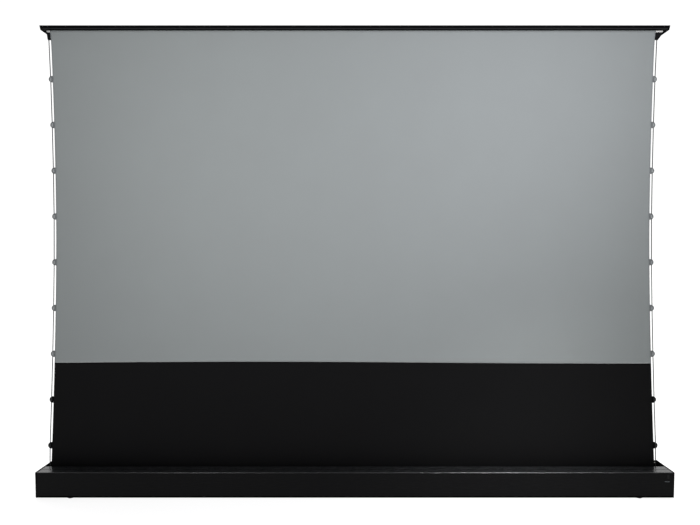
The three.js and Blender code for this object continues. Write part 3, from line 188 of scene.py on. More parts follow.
def sheeting(name, colours, roughness, thread, depth, **shader):
    """Coated screen fabric: a fine basket of threads along X and Z under the coat, raised by depth, and
    a very faint cloudiness. A wave texture's period is 0.314 over its scale."""
    material, tree, skin = start_material(name, **shader)
    place = add_node(tree, "ShaderNodeTexCoord").outputs["Object"]
    clouds = {"Vector": place, "Scale": 5.0, "Detail": 4, "Roughness": 0.6}
    cloud = add_node(tree, "ShaderNodeTexNoise", clouds).outputs[0]
    grit = add_node(tree, "ShaderNodeTexNoise", {"Vector": place, "Scale": 1 / thread, "Detail": 2}).outputs[0]
    threads = {"Vector": place, "Scale": 0.314 / thread, "Distortion": 0.4}
    weft, warp = [
        add_node(tree, "ShaderNodeTexWave", threads, bands_direction=axis).outputs["Fac"] for axis in "XZ"
    ]
    basket = add_node(tree, "ShaderNodeMath", {0: weft, 1: warp}, operation="ADD").outputs[0]
    height = add_node(tree, "ShaderNodeMath", {0: basket, 1: grit}, operation="ADD").outputs[0]
    span = {"Value": grit, "To Min": roughness[0], "To Max": roughness[1]}
    dull = add_node(tree, "ShaderNodeMapRange", span).outputs[0]
    join_finish(tree, skin, cloud, colours, dull, height, depth)
    return material


def strands(name, colours, roughness, count, lay, depth, **shader):
    """A twisted or braided line: count strands cross in both directions round it, one turn in each
    length lay, read from the piece's own UV (share of the way round, metres along)."""
    material, tree, skin = start_material(name, **shader)
    own_uv = add_node(tree, "ShaderNodeUVMap", uv_map="lay").outputs[0]
    around, along = add_node(tree, "ShaderNodeSeparateXYZ", {0: own_uv}).outputs[:2]
    turned = add_node(tree, "ShaderNodeMath", {0: around, 1: TURN * count}, operation="MULTIPLY").outputs[0]
    drawn = add_node(tree, "ShaderNodeMath", {0: along, 1: TURN * count / lay}, operation="MULTIPLY").outputs[0]
    ridges = []
    for operation in ("ADD", "SUBTRACT"):
        phase = add_node(tree, "ShaderNodeMath", {0: turned, 1: drawn}, operation=operation).outputs[0]
        ridges.append(add_node(tree, "ShaderNodeMath", {0: phase}, operation="SINE").outputs[0])
    height = add_node(tree, "ShaderNodeMath", {0: ridges[0], 1: ridges[1]}, operation="MAXIMUM").outputs[0]
    # The crests take the second colour and the valleys the first: painted shade between the strands
    crests = {"Value": height, "From Min": -0.6, "From Max": 1.0}
    crest = add_node(tree, "ShaderNodeMapRange", crests).outputs[0]
    span = {"Value": height, "From Min": -1.0, "To Min": roughness[1], "To Max": roughness[0]}
    dull = add_node(tree, "ShaderNodeMapRange", span).outputs[0]
    join_finish(tree, skin, crest, colours, dull, height, depth)
    return material


def banded(material, low, high, colour, band_gloss):
    """The same finish with a level band from low to high in another colour and gloss, whose two edges
    blend over 0.2 mm."""
    tree = material.node_tree
    skin = next(each for each in tree.nodes if each.type == "BSDF_PRINCIPLED")
    gloss, half, blend = skin.inputs["Specular IOR Level"], (high - low) / 2, 0.1 * MM
    place = add_node(tree, "ShaderNodeTexCoord").outputs["Object"]
    height = add_node(tree, "ShaderNodeSeparateXYZ", {0: place}).outputs[2]
    away = add_node(tree, "ShaderNodeMath", {0: height, 1: (low + high) / 2}, operation="SUBTRACT").outputs[0]
    away = add_node(tree, "ShaderNodeMath", {0: away}, operation="ABSOLUTE").outputs[0]
    edge = {"Value": away, "From Min": half + blend, "From Max": half - blend}
    share = add_node(tree, "ShaderNodeMapRange", edge).outputs[0]
    ends = {"Factor": share, 6: skin.inputs["Base Color"].links[0].from_socket, 7: linear(colour)}
    tint = add_node(tree, "ShaderNodeMix", ends, data_type="RGBA").outputs[2]
    span = {"Value": share, "To Min": gloss.default_value, "To Max": band_gloss}
    tree.links.new(tint, skin.inputs["Base Color"])
    tree.links.new(add_node(tree, "ShaderNodeMapRange", span).outputs[0], gloss)
    return material


# How far a grain is drawn out: along the profile by the die, and round the axis by the lathe
DIE_LINES, LATHE_RINGS = (60, 1, 1), (1, 40, 40)

# Extruded aluminium, satin black anodised: fine die lines along the profile, a weak even gloss
drawn_black_anodising = rigid_finish(
    "drawn_black_anodising", (0x121213, 0x151516), (0.2, 0.3), 120 * MM, 0.8 * MM, 0.006 * MM, DIE_LINES,
    gloss=0.08)
# The same anodising in a darker copy on the front, as painted shade: almost no light comes back from its flat
# faces. A near black band without gloss from 4 to 11.5 mm up is a painted shadow along its foot
painted_shade_front_anodising = banded(rigid_finish(
    "painted_shade_front_anodising", (0x080809, 0x0B0B0C), (0.22, 0.32), 120 * MM, 0.8 * MM, 0.006 * MM, DIE_LINES,
    gloss=0.06), 4 * MM, 11.5 * MM, 0x020202, 0)
# The same darker copy on the lid's lip, with a thin paler and glossier line between two black bands: a painted
# highlight
lip_anodising_painted_highlight = banded(rigid_finish(
    "lip_anodising_painted_highlight", (0x080809, 0x0B0B0C), (0.22, 0.32), 120 * MM, 0.8 * MM, 0.006 * MM, DIE_LINES,
    gloss=0.06), 2064.6 * MM, 2067.4 * MM, 0x28292B, 0.25)
# Top of the strip in front of the slot, a shade paler than the front: painted light where the top takes more
# light than the front
painted_light_top_anodising = rigid_finish(
    "painted_light_top_anodising", (0x252627, 0x2A2B2C), (0.22, 0.32), 90 * MM, 0.8 * MM, 0.006 * MM, DIE_LINES,
    gloss=0.08)
# Long edge of the housing, burnished by handling: it catches the lamps as a bright line
burnished_edge = rigid_finish(
    "burnished_edge", (0x6C6C6E, 0x747475), (0.34, 0.4), 300 * MM, 0.8 * MM, 0.0005 * MM, DIE_LINES,
    Metallic=1.0)
# The same aluminium blasted before it was anodised, as on the arms: a fine even grain, a broader gloss
blasted_black_anodising = rigid_finish(
    "blasted_black_anodising", (0x101011, 0x151516), (0.32, 0.45), 80 * MM, 0.35 * MM, 0.012 * MM, gloss=0.3)
# Injection-moulded ABS with a spark-eroded texture: dead black, soft gloss on the edges
textured_black_abs = rigid_finish(
    "textured_black_abs", (0x0B0B0C, 0x101011), (0.42, 0.58), 50 * MM, 0.5 * MM, 0.02 * MM, gloss=0.25)
# The same ABS with a coarser texture, on the end caps and the black guides: no gloss at a low angle either
matt_black_abs = rigid_finish(
    "matt_black_abs", (0x0A0A0B, 0x0F0F10), (0.6, 0.75), 50 * MM, 0.7 * MM, 0.03 * MM, gloss=0.0)
# Glass-filled nylon of the two gussets: greyer than the ABS, its ribs stay dark
glass_filled_nylon = rigid_finish(
    "glass_filled_nylon", (0x0E0F10, 0x141516), (0.4, 0.55), 20 * MM, 0.4 * MM, 0.02 * MM, gloss=0.12)
# Moulded rubber: no gloss, slightly dusty
foot_rubber = rigid_finish(
    "foot_rubber", (0x0C0C0C, 0x171716), (0.8, 0.95), 10 * MM, 0.4 * MM, 0.03 * MM, gloss=0.3)
# Folded sheet steel under black powder paint: a faint orange peel
powder_black_steel = rigid_finish(
    "powder_black_steel", (0x131314, 0x19191A), (0.35, 0.5), 40 * MM, 1.4 * MM, 0.03 * MM, gloss=0.4)
# Zinc-plated steel: grey, with cloudy patches where the bath left it duller
zinc_plating = rigid_finish(
    "zinc_plating", (0xA4A8AC, 0xC2C4C6), (0.26, 0.46), 12 * MM, 0.6 * MM, 0.008 * MM, Metallic=1.0)
# Cold-drawn spring wire: dark bright steel with a light oil
oiled_spring_wire = rigid_finish(
    "oiled_spring_wire", (0x84878C, 0x9A9DA2), (0.2, 0.34), 6 * MM, 0.3 * MM, 0.004 * MM, Metallic=1.0)
# Bare aluminium tube, lathe-finished: bright, with fine rings round it
turned_bare_aluminium = rigid_finish(
    "turned_bare_aluminium", (0xC4C6C9, 0xD6D8DA), (0.24, 0.4), 50 * MM, 0.5 * MM, 0.006 * MM, LATHE_RINGS,
    Metallic=1.0)
# Natural acetal: milk white, waxy
natural_acetal = rigid_finish(
    "natural_acetal", (0xDDDDDA, 0xE7E7E5), (0.36, 0.5), 20 * MM, 0.7 * MM, 0.008 * MM,
    **{"Subsurface Weight": 0.15, "Subsurface Radius": (0.002, 0.002, 0.0018)})
# Smoked acrylic over the remote's receiver: black and glossy
smoked_acrylic = rigid_finish(
    "smoked_acrylic", (0x08080A, 0x0B0B0E), (0.08, 0.14), 20 * MM, 2 * MM, 0.001 * MM, gloss=0.12)
# Milky light pipe, unlit: pale grey with depth under a smooth skin
milky_light_pipe = rigid_finish(
    "milky_light_pipe", (0x5A5F63, 0x6C7175), (0.15, 0.25), 8 * MM, 1.5 * MM, 0.002 * MM,
    **{"Subsurface Weight": 0.3, "Subsurface Radius": (0.002, 0.002, 0.002)})
# Blackened steel screws: darker than zinc, a little brown where oil dried
blackened_screws = rigid_finish(
    "blackened_screws", (0x2A2A2B, 0x35332F), (0.3, 0.45), 3 * MM, 0.3 * MM, 0.006 * MM, Metallic=1.0)
# Nickel-plated screws of the end caps' lugs: warm bright metal
nickel_plating = rigid_finish(
    "nickel_plating", (0xC9C5BC, 0xD8D5CE), (0.16, 0.26), 4 * MM, 0.3 * MM, 0.003 * MM, Metallic=1.0)
# Grey high-contrast projection coat on woven cloth: dead matt, even from edge to edge
grey_projection_coat = sheeting(
    "grey_projection_coat", (0x858989, 0x888D8D), (0.78, 0.88), 0.5 * MM, 0.02 * MM, gloss=0.2,
    **{"Sheen Weight": 0.05, "Sheen Roughness": 0.6})
# The same coat on the hem just under its rod, smoother and painted paler: painted light on the hem under the
# lid's shade
hem_coat_painted_light = sheeting(
    "hem_coat_painted_light", (0xB6B9BA, 0xBABDBE), (0.6, 0.7), 0.5 * MM, 0.01 * MM, gloss=0.3)
# The same coat along the sheet's side edges, a shade darker
darker_edge_coat = sheeting(
    "darker_edge_coat", (0x7B7F80, 0x7E8283), (0.6, 0.7), 0.5 * MM, 0.01 * MM, gloss=0.2)
# Black masking cloth of the drop and its tab strips: soaks up light
black_masking_cloth = sheeting(
    "black_masking_cloth", (0x0A0A0B, 0x0D0D0E), (0.75, 0.88), 0.5 * MM, 0.02 * MM, gloss=0.1,
    **{"Sheen Weight": 0.02, "Sheen Roughness": 0.5})
# Black backing coat on the rear of the sheet: smoother and a little glossier
black_backing_coat = sheeting(
    "black_backing_coat", (0x111112, 0x161617), (0.5, 0.62), 0.6 * MM, 0.012 * MM, gloss=0.3)
# Grey welded tab strip: soft vinyl, a slight gloss
grey_tab_vinyl = sheeting(
    "grey_tab_vinyl", (0x868A8B, 0x8F9293), (0.5, 0.62), 0.7 * MM, 0.012 * MM, gloss=0.35)
# Slate vinyl of the guides clipped over the grey tabs: darker and glossier than the tab under it
slate_guide_vinyl = rigid_finish(
    "slate_guide_vinyl", (0x696C6D, 0x737677), (0.35, 0.5), 10 * MM, 0.5 * MM, 0.01 * MM, gloss=0.3)
# Charcoal vinyl of the sleeves in the black guides: just paler than the ABS round it
charcoal_vinyl = rigid_finish(
    "charcoal_vinyl", (0x1E1F20, 0x262728), (0.35, 0.5), 10 * MM, 0.5 * MM, 0.01 * MM, gloss=0.15)
# Braided polyester cord: slate ridges with darker valleys as painted shade, no gloss
braided_polyester = strands(
    "braided_polyester", (0x181919, 0x2C2D2D), (0.75, 0.9), 8, 9 * MM, 0.12 * MM, gloss=0.08)
# Steel cable of seven strands, drawn as three coarser ones so that they show: bright crests and grey valleys,
# painted light and shade
stranded_steel = strands(
    "stranded_steel", (0x6E7276, 0xC0C3C6), (0.25, 0.5), 3, 14 * MM, 0.2 * MM, Metallic=1.0)

FINISH_OF_SLOT = {
    "black_anodised": drawn_black_anodising,
    "black_plastic": textured_black_abs,
    "rubber": foot_rubber,
    "black_steel": powder_black_steel,
    "zinc_steel": zinc_plating,
    "spring_steel": oiled_spring_wire,
    "bare_aluminium": turned_bare_aluminium,
    "acetal": natural_acetal,
    "grey_sheeting": grey_projection_coat,
    "black_sheeting": black_masking_cloth,
    "tab_grey": grey_tab_vinyl,
    "cord": braided_polyester,
    "window": smoked_acrylic,
    "lens": milky_light_pipe,
}
SLOT_OF_NODE = {row["node"]: row["material_slot"] for row in frame["record"]["subparts"]}
BODY_OF_NODE = {node: body for body, nodes in frame["record"]["behaviour"]["bodies"].items() for node in nodes}
for name, cad_object in frame["nodes"].items():
    cad_object.data.materials.clear()
    cad_object.data.materials.append(FINISH_OF_SLOT[SLOT_OF_NODE[name]])


# Meshes
def grid_mesh(name, grids):
    """One mesh from grids of points, each given as (points, closed along its rows, closed along its
    columns). The UV map "lay" holds the share of the way across and the metres along."""
    corners, faces, lay, start = [], [], [], 0
    for points, close_rows, close_columns in grids:
        rows, columns = points.shape[:2]
        last_row, last_column = rows - (not close_rows), columns - (not close_columns)
        r, c = np.meshgrid(np.arange(last_row), np.arange(last_column), indexing="ij")
        r, c = r.ravel(), c.ravel()
        around = np.stack([r, r + 1, r + 1, r], 1)
        across = np.stack([c, c, c + 1, c + 1], 1)
        faces.append(start + (around % rows) * columns + across % columns)
        steps = np.linalg.norm(np.diff(points, axis=0, append=points[:1]), axis=2).mean(1)
        along = np.concatenate([[0], np.cumsum(steps)])
        lay.append(np.stack([across / last_column, along[around]], 2).reshape(-1, 2))
        corners.append(points.reshape(-1, 3))
        start += rows * columns
    mesh = bpy.data.meshes.new(name)
    mesh.from_pydata(np.concatenate(corners), [], np.concatenate(faces).tolist())
    mesh.uv_layers.new(name="lay").data.foreach_set("uv", np.concatenate(lay).astype(np.float32).ravel())
    return mesh


def weld(mesh):
    """Points within a thousandth of a millimetre become one, and faces look outward on a closed mesh."""
    reach = 0.001 * MM
    work = bmesh.new()
    work.from_mesh(mesh)
    bmesh.ops.remove_doubles(work, verts=work.verts, dist=reach)
    bmesh.ops.dissolve_degenerate(work, edges=work.edges, dist=reach / 4)
    if all(edge.is_manifold for edge in work.edges):
        bmesh.ops.recalc_face_normals(work, faces=work.faces)
    work.to_mesh(mesh)
    work.free()


def place_piece(
    name, mesh, materials, body, replaced=(), sharp=35, rounding=0, segments=2, long_edge=0,
):
    """The finished piece: smooth but for edges sharper than sharp degrees, its edges rounded where
    rounding is given, and first those with a weight rounded by long_edge, riding on its body in place
    of the CAD nodes replaced."""
    for material in materials:
        mesh.materials.append(material)
    mesh.polygons.foreach_set("use_smooth", np.ones(len(mesh.polygons), bool))
    mesh.set_sharp_from_angle(angle=math.radians(sharp))
    piece = bpy.data.objects.new(name, mesh)
    bpy.context.scene.collection.objects.link(piece)
    if long_edge:
        arc = piece.modifiers.new("rounded_long_edge", "BEVEL")
        arc.width, arc.segments, arc.limit_method = long_edge, 5, "WEIGHT"
    if rounding:
        edge = piece.modifiers.new("rounded_edges", "BEVEL")
        edge.width, edge.segments, edge.limit_method = rounding, segments, "ANGLE"
        edge.angle_limit, edge.harden_normals = math.radians(28), True
        edge.use_clamp_overlap, edge.miter_outer = True, "MITER_ARC"
    if replaced:
        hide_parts(*replaced)
    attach(piece, body)
    return piece


def thicken(piece, name, thickness):
    """A wall of that thickness behind the piece's faces."""
    shell = piece.modifiers.new(name, "SOLIDIFY")
    shell.thickness, shell.offset = thickness, -1
    return shell


def rounded_copy(node, rounding, material=None, others=(), long_edge=0, long_edge_at=None):
    """A copy of a CAD node with its split points joined, its flat faces in one piece and its edges
    rounded, which stands for the node. Each of others is a material and a rule that picks its faces from
    their middles and normals. The edges that long_edge_at picks from their middles are rounded by
    long_edge."""
    mesh = frame["nodes"][node].data.copy()
    mesh.materials.clear()
    while mesh.uv_layers:
        mesh.uv_layers.remove(mesh.uv_layers[0])
    work = bmesh.new()
    work.from_mesh(mesh)
    bmesh.ops.remove_doubles(work, verts=work.verts, dist=0.002 * MM)
    bmesh.ops.dissolve_limit(work, angle_limit=math.radians(0.6), verts=work.verts, edges=work.edges)
    bmesh.ops.recalc_face_normals(work, faces=work.faces)
    work.to_mesh(mesh)
    work.free()
    if mesh.has_custom_normals:
        mesh.attributes.remove(mesh.attributes["custom_normal"])
    middles, normals = np.empty(3 * len(mesh.polygons)), np.empty(3 * len(mesh.polygons))
    mesh.polygons.foreach_get("center", middles)
    mesh.polygons.foreach_get("normal", normals)
    index = np.zeros(len(mesh.polygons), int)
    for number, (_, picks) in enumerate(others, 1):
        index[picks(middles.reshape(-1, 3), normals.reshape(-1, 3))] = number
    mesh.polygons.foreach_set("material_index", index)
    if long_edge:
        corners, ends = np.empty(3 * len(mesh.vertices)), np.empty(2 * len(mesh.edges), int)
        mesh.vertices.foreach_get("co", corners)
        mesh.edges.foreach_get("vertices", ends)
        at = corners.reshape(-1, 3)[ends.reshape(-1, 2)].mean(1)
        weight = mesh.attributes.new("bevel_weight_edge", "FLOAT", "EDGE")
        weight.data.foreach_set("value", long_edge_at(at).astype(np.float32))
    materials = [material or FINISH_OF_SLOT[SLOT_OF_NODE[node]], *(finish for finish, _ in others)]
    return place_piece(
        f"{node}_rounded", mesh, materials, BODY_OF_NODE[node], [node],
        rounding=rounding, segments=3, long_edge=long_edge)


def turned_points(profile, axis, centre, steps=48, hexagonal=()):
    """A turned form: the profile's (distance along the axis, radius) points carried round the axis
    through centre. Rows listed in hexagonal follow a hexagon of that radius instead of a circle."""
    along, radius = np.array(profile, float).T
    angle = np.arange(steps) / steps * TURN
    corner = np.cos(math.pi / 6) / np.cos((angle + math.pi / 6) % (math.pi / 3) - math.pi / 6)
    shape = np.ones((len(along), steps))
    shape[list(hexagonal)] = corner
    reach = radius[:, None] * shape
    first, second, third = reach * np.cos(angle), reach * np.sin(angle), np.repeat(along[:, None], steps, 1)
    order = {"x": (third, first, second), "y": (second, third, first), "z": (first, second, third)}[axis]
    return np.stack(order, 2) + np.array(centre)


def turned_piece(
    name, profile, axis, centre, material, body, replaced=(), steps=48, rounding=0.3 * MM,
    closed=False,
):
    """A turned piece; its profile starts and ends on the axis, or closes on itself round a bore."""
    mesh = grid_mesh(name, [(turned_points(profile, axis, centre, steps), closed, True)])
    weld(mesh)
    return place_piece(name, mesh, [material], body, replaced, rounding=rounding)


def capped(rings):
    """Rings of points along a bar, with both its ends closed to their middles."""
    first, last = (np.broadcast_to(rings[i].mean(0), (1, *rings.shape[1:])) for i in (0, -1))
    return np.concatenate([first, rings, last])


def line_points(path, radius, reference):
    """A round line: a circle of 12 points carried along the path, square to it, with its first point
    turned towards the reference direction and both ends closed."""
    path, reference = np.asarray(path, float), np.asarray(reference, float)
    heading = np.gradient(path, axis=0)
    heading /= np.linalg.norm(heading, axis=1, keepdims=True)
    up = reference - (heading @ reference)[:, None] * heading
    up /= np.linalg.norm(up, axis=1, keepdims=True)
    side = np.cross(heading, up)
    angle = np.arange(12) / 12 * TURN
    ring = np.cos(angle)[None, :, None] * up[:, None] + np.sin(angle)[None, :, None] * side[:, None]
    return capped(path[:, None] + radius * ring)


def line_piece(name, path, radius, reference, material, body, node):
    """A cord, cable or wire along a path, in place of its CAD node."""
    mesh = grid_mesh(name, [(line_points(path, radius, reference), False, True)])
    weld(mesh)
    return place_piece(name, mesh, [material], body, [node], sharp=60)


def swept_section(path, outward, across, heights):
    """A flat bar that follows a path in y and z: its section reaches from one x to the other, given for
    each point of the path in across, and from one height to the other over the surface, whose outward
    directions are given."""
    path, outward, across = np.asarray(path, float), np.asarray(outward, float), np.asarray(across, float)
    corners = [(0, 0), (0, 1), (1, 1), (1, 0)]
    x = np.stack([across[:, a] for a, _ in corners], 1)
    yz = np.stack([path + outward * heights[b] for _, b in corners], 1)
    return capped(np.concatenate([x[:, :, None], yz], 2))


def with_side(points, side):
    """Points drawn for the right-hand side, mirrored in x for the left."""
    return points * np.array([SIDES[side], 1, 1])


def beside_sheet(points, side):
    """Points drawn from the sheet's middle to its right edge, put on the given side of the sheet."""
    return with_side(points, side) + np.array([FABRIC_X, 0, 0])


def crumple(piece):
    """Gives the piece a mesh of its own."""
    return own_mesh(piece)


# Tension cords: straight from tab to tab, from the gusset at the top down to the spool
CORD_STEPS = 12
gusset_x = half_width(GUSSET_TIP) + CORD_OFFSET
cord_stations = np.array(
    [[gusset_x, 0, CORD_TOP], [gusset_x, 0, GUSSET_TIP]]
    + [[half_width(z) + CORD_OFFSET, 0, z] for z in TAB_HEIGHTS[::-1]]
    + [[CORD_FOOT, 0, BASE_TOP], [CORD_FOOT, 0, SHEET_BOTTOM]]
)
cord_runs = np.linspace(cord_stations[:-1], cord_stations[1:], CORD_STEPS, endpoint=False, axis=1)
cord_path = np.concatenate([cord_runs.reshape(-1, 3), cord_stations[-1:]])
for side in SIDES:
    path = beside_sheet(cord_path, side)
    tension_cord = line_piece(
        f"braided_tension_cord_{side}", path, BRAID_RADIUS, (0, 1, 0), braided_polyester, "base",
        f"tension_cord_{side}")
    crumple(tension_cord)

# Sheet: the grey viewing area with its hem round the rod, and the black drop under it
SHEET_COLUMNS, GREY_ROWS, HEM_ROWS, DROP_ROWS = 72, 150, 27, 60
PULL_DEPTH, PULL_REACH = 0.25 * MM, 90 * MM
# The welded seam's wander: how far it lies low, how far it swings, where along the sheet it crosses its
# own middle, half a swing's length (both in shares of half the waist), and how far up and down it tells
SEAM_LOW, SEAM_SWING, SEAM_CENTRE, SEAM_HALF_SWING, SEAM_REACH = 1.6 * MM, 4.2 * MM, 0.27, 1.2, 200 * MM


def sheet_points(path_yz, widths, columns, pulled=True):
    """A sheet that follows a path in y and z, as wide as widths says on each side of its middle. Where it
    is pulled by its tabs, they leave shallow waves in y that die out 90 mm in from the edge, and the
    welded seam at the border wanders 4 mm up and down in one slow sine along its length, which dies out
    200 mm above and below it."""
    path_yz, widths = np.asarray(path_yz, float), np.asarray(widths, float)
    share = np.sin(np.linspace(-1, 1, columns) * math.pi / 2)
    x = widths[:, None] * share
    y = np.repeat(path_yz[:, :1], columns, 1)
    z = np.repeat(path_yz[:, 1:], columns, 1)
    if pulled:
        inward = widths[:, None] - np.abs(x)
        wave = np.cos((z - TAB_HEIGHTS[0]) / (TAB_HEIGHTS[1] - TAB_HEIGHTS[0]) * TURN)
        fade = np.exp(-((inward / PULL_REACH) ** 2)) * np.minimum(1, inward / BAND_WIDTH)
        y = y - PULL_DEPTH * (0.5 - 0.5 * wave) * fade
        swing = np.sin(math.pi * (x / WAIST_HALF - SEAM_CENTRE) / SEAM_HALF_SWING)
        z = z - (SEAM_LOW + SEAM_SWING * swing) * np.clip(1 - np.abs(z - BORDER_Z) / SEAM_REACH, 0, 1)
    return np.stack([FABRIC_X + x, y, z], 2)


def sheet_piece(name, points, materials, node):
    """A sheet of the cloth's thickness that faces forward, in the first of its materials unless told
    otherwise and with the last as its backing, in place of its CAD node."""
    mesh = grid_mesh(name, [(points[:, ::-1], False, False)])
    for material in materials:
        mesh.materials.append(material)
    mesh.polygons.foreach_set("use_smooth", np.ones(len(mesh.polygons), bool))
    piece = bpy.data.objects.new(name, mesh)
    bpy.context.scene.collection.objects.link(piece)
    shell = thicken(piece, "cloth_thickness", SHEET_THICKNESS)
    shell.material_offset = shell.material_offset_rim = len(materials) - 1
    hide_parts(node)
    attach(piece, "base")
    return piece


grey_straight = np.linspace(BORDER_Z, HEM_Z, GREY_ROWS)
hem_angles = math.pi - np.linspace(0, HEM_LOOP, HEM_ROWS + 1)[1:]
grey_path = np.concatenate([
    np.stack([np.zeros(GREY_ROWS), grey_straight], 1),
    np.stack([HEM_Y + HEM_RADIUS * np.cos(hem_angles), HEM_Z + HEM_RADIUS * np.sin(hem_angles)], 1),
])
grey_widths = half_width(np.minimum(grey_path[:, 1], HEM_Z))
grey_widths[GREY_ROWS:] = half_width(HEM_Z)
grey_sheet = sheet_piece(
    "grey_sheet_hemmed", sheet_points(grey_path, grey_widths, SHEET_COLUMNS),
    [grey_projection_coat, hem_coat_painted_light, darker_edge_coat, black_backing_coat], "grey_sheet")

# Its two outer columns of faces on each side take the darker edge coat, and its top straight rows under the
# hem's loop the paler hem coat, as painted light
PAINTED_LIGHT_HEM, DARKER_EDGE, EDGE_COLUMNS = 1, 2, 2
last_column = SHEET_COLUMNS - 2
row, column = np.divmod(np.arange(len(grey_sheet.data.polygons)), last_column + 1)
coat = np.where(np.minimum(column, last_column - column) < EDGE_COLUMNS, DARKER_EDGE, 0)
coat[(row >= np.searchsorted(grey_straight, HEM_PAINTED_FROM_Z)) & (row < GREY_ROWS - 1)] = PAINTED_LIGHT_HEM
grey_sheet.data.polygons.foreach_set("material_index", coat)

drop_path = np.stack([np.zeros(DROP_ROWS), np.linspace(SHEET_BOTTOM, BORDER_Z - 0.2 * MM, DROP_ROWS)], 1)
drop_widths = half_width(drop_path[:, 1])
black_drop = sheet_piece(
    "black_drop_cloth", sheet_points(drop_path, drop_widths, SHEET_COLUMNS),
    [black_masking_cloth, black_backing_coat], "black_drop")


# Tab strips: a welded band behind the sheet's edge, a hollow-sided lug for each tab and a sleeve round
# the cord
def lug_reach(rise):
    """How far a lug reaches out at a height above or below its middle: a blunt round end of 9.5 mm, then
    a short hollow curve that runs out into the edge 15 mm away."""
    rise = np.abs(rise)
    neck = TAB_END_RADIUS * math.sin(TAB_END_TURN)
    tip = TAB_END_OFFSET + np.sqrt(np.clip(TAB_END_RADIUS**2 - rise**2, 0, None))
    near = np.sqrt(np.clip((rise - neck) / (TAB_HALF_HEIGHT - neck), 0, 1))
    end = TAB_END_OFFSET + TAB_END_RADIUS * math.cos(TAB_END_TURN)
    hollow = TAB_END_OFFSET * (1 - near) * near + end * (1 - near) ** 2
    return np.where(rise < neck, tip, np.where(rise < TAB_HALF_HEIGHT, hollow, 0))


# A guide's bow: its radius, how far outside the sheet's edge it is centred, and how far it wraps round;
# and how far out the guide's own middle lies
BOW_RADIUS, BOW_CENTRE, BOW_WRAP = 14.5 * MM, 3 * MM, math.pi / 2 + 0.2
GUIDE_MIDDLE = 8 * MM
# Its section from the middle of its front over its rim to the middle of its back: share of the outline,
# and depth
GUIDE_SHARE = np.array([0, 0.5, 0.74, 0.8, 0.95, 1, 1, 0.95, 0])[:, None]
GUIDE_DEPTH = np.array([-1.1, -1.1, -1.1, -1.8, -1.8, -1.4, 1.8, 2.2, 2.2])[:, None] * MM
# The sleeve in it, turned round the cord: height and radius
SLEEVE_PROFILE = np.array([
    (-8, 2.1), (-8, 3.2), (-7.6, 3.8), (-6.9, 4), (6.9, 4), (7.6, 3.8), (8, 3.2), (8, 2.1),
]) * MM


def guide_points(height):
    """A guide clipped over a tab: a D whose flat side stands along the sheet's edge and whose bow is an
    arc of 14.5 mm about a point 3 mm outside it, dished inside a raised rim."""
    bow = np.linspace(-BOW_WRAP, BOW_WRAP, 25)
    arc_x, arc_z = BOW_CENTRE + BOW_RADIUS * np.cos(bow), BOW_RADIUS * np.sin(bow)
    across = np.concatenate([arc_x, np.full(8, arc_x[0])])
    upright = np.concatenate([arc_z, np.linspace(arc_z[-1], arc_z[0], 10)[1:-1]])
    x = float(half_width(height)) + GUIDE_MIDDLE + (across - GUIDE_MIDDLE) * GUIDE_SHARE
    return np.stack([x, np.broadcast_to(GUIDE_DEPTH, x.shape), height + upright * GUIDE_SHARE], 2)


def tab_strip(side, shade, bottom, top, heights, material, guide_material, sleeve_material):
    """The strip from bottom to top on one side: a band whose outer columns stand out as lugs at the given
    heights, and at each a D-shaped guide and a turned sleeve round the cord."""
    blunt = TAB_END_RADIUS * np.sin(np.linspace(-1, 1, 13) * TAB_END_TURN)
    rises = np.concatenate([
        np.linspace(-TAB_HALF_HEIGHT, blunt[0], 7), blunt, np.linspace(blunt[-1], TAB_HALF_HEIGHT, 7),
    ])
    z = np.unique(np.concatenate([np.linspace(bottom, top, 60), (heights[:, None] + rises).ravel()]))
    reach = lug_reach(z[:, None] - heights).max(1)
    edge = half_width(z)
    band = edge[:, None] - BAND_WIDTH * np.linspace(1, 0, 4)
    lug = edge[:, None] + reach[:, None] * np.linspace(0, 1, 7)[1:]
    x = np.concatenate([band, lug], 1)
    behind_sheet = SHEET_THICKNESS + CLEARANCE
    flat = np.stack([x, np.full_like(x, behind_sheet), np.repeat(z[:, None], x.shape[1], 1)], 2)
    name = f"{shade}_tab_band_{side}"
    mesh = grid_mesh(name, [(beside_sheet(flat, side), False, False)])
    weld(mesh)
    work = bmesh.new()
    work.from_mesh(mesh)
    bmesh.ops.recalc_face_normals(work, faces=work.faces)
    if sum(face.normal.y * face.calc_area() for face in work.faces) > 0:
        bmesh.ops.reverse_faces(work, faces=work.faces)
    work.to_mesh(mesh)
    work.free()
    strip = place_piece(name, mesh, [material], "base", [f"{shade}_tab_strip_{side}"])
    thicken(strip, "band_thickness", BAND_THICKNESS)
    pieces = [crumple(strip)]
    guides = [(guide_points(h), False, True) for h in heights]
    cord_places = [(float(half_width(h)) + CORD_OFFSET, 0, h) for h in heights]
    sleeves = [(turned_points(SLEEVE_PROFILE, "z", place, 20), True, True) for place in cord_places]
    for kind, grids, finish in (("guides", guides, guide_material), ("sleeves", sleeves, sleeve_material)):
        name = f"{shade}_tab_{kind}_{side}"
        mesh = grid_mesh(name, [(beside_sheet(points, side), rows, columns) for points, rows, columns in grids])
        weld(mesh)
        piece = place_piece(name, mesh, [finish], "base")
        pieces.append(crumple(piece))
    return pieces


on_grey, on_black = [], []
for side in SIDES:
    on_grey += tab_strip(
        side, "grey", BORDER_Z, HEM_Z - 24 * MM, TAB_HEIGHTS[BLACK_TABS:],
        grey_tab_vinyl, slate_guide_vinyl, grey_tab_vinyl)
    on_black += tab_strip(
        side, "black", SHEET_BOTTOM + 12 * MM, BORDER_Z, TAB_HEIGHTS[:BLACK_TABS],
        black_masking_cloth, matt_black_abs, charcoal_vinyl)


crumple(grey_sheet)
crumple(black_drop)

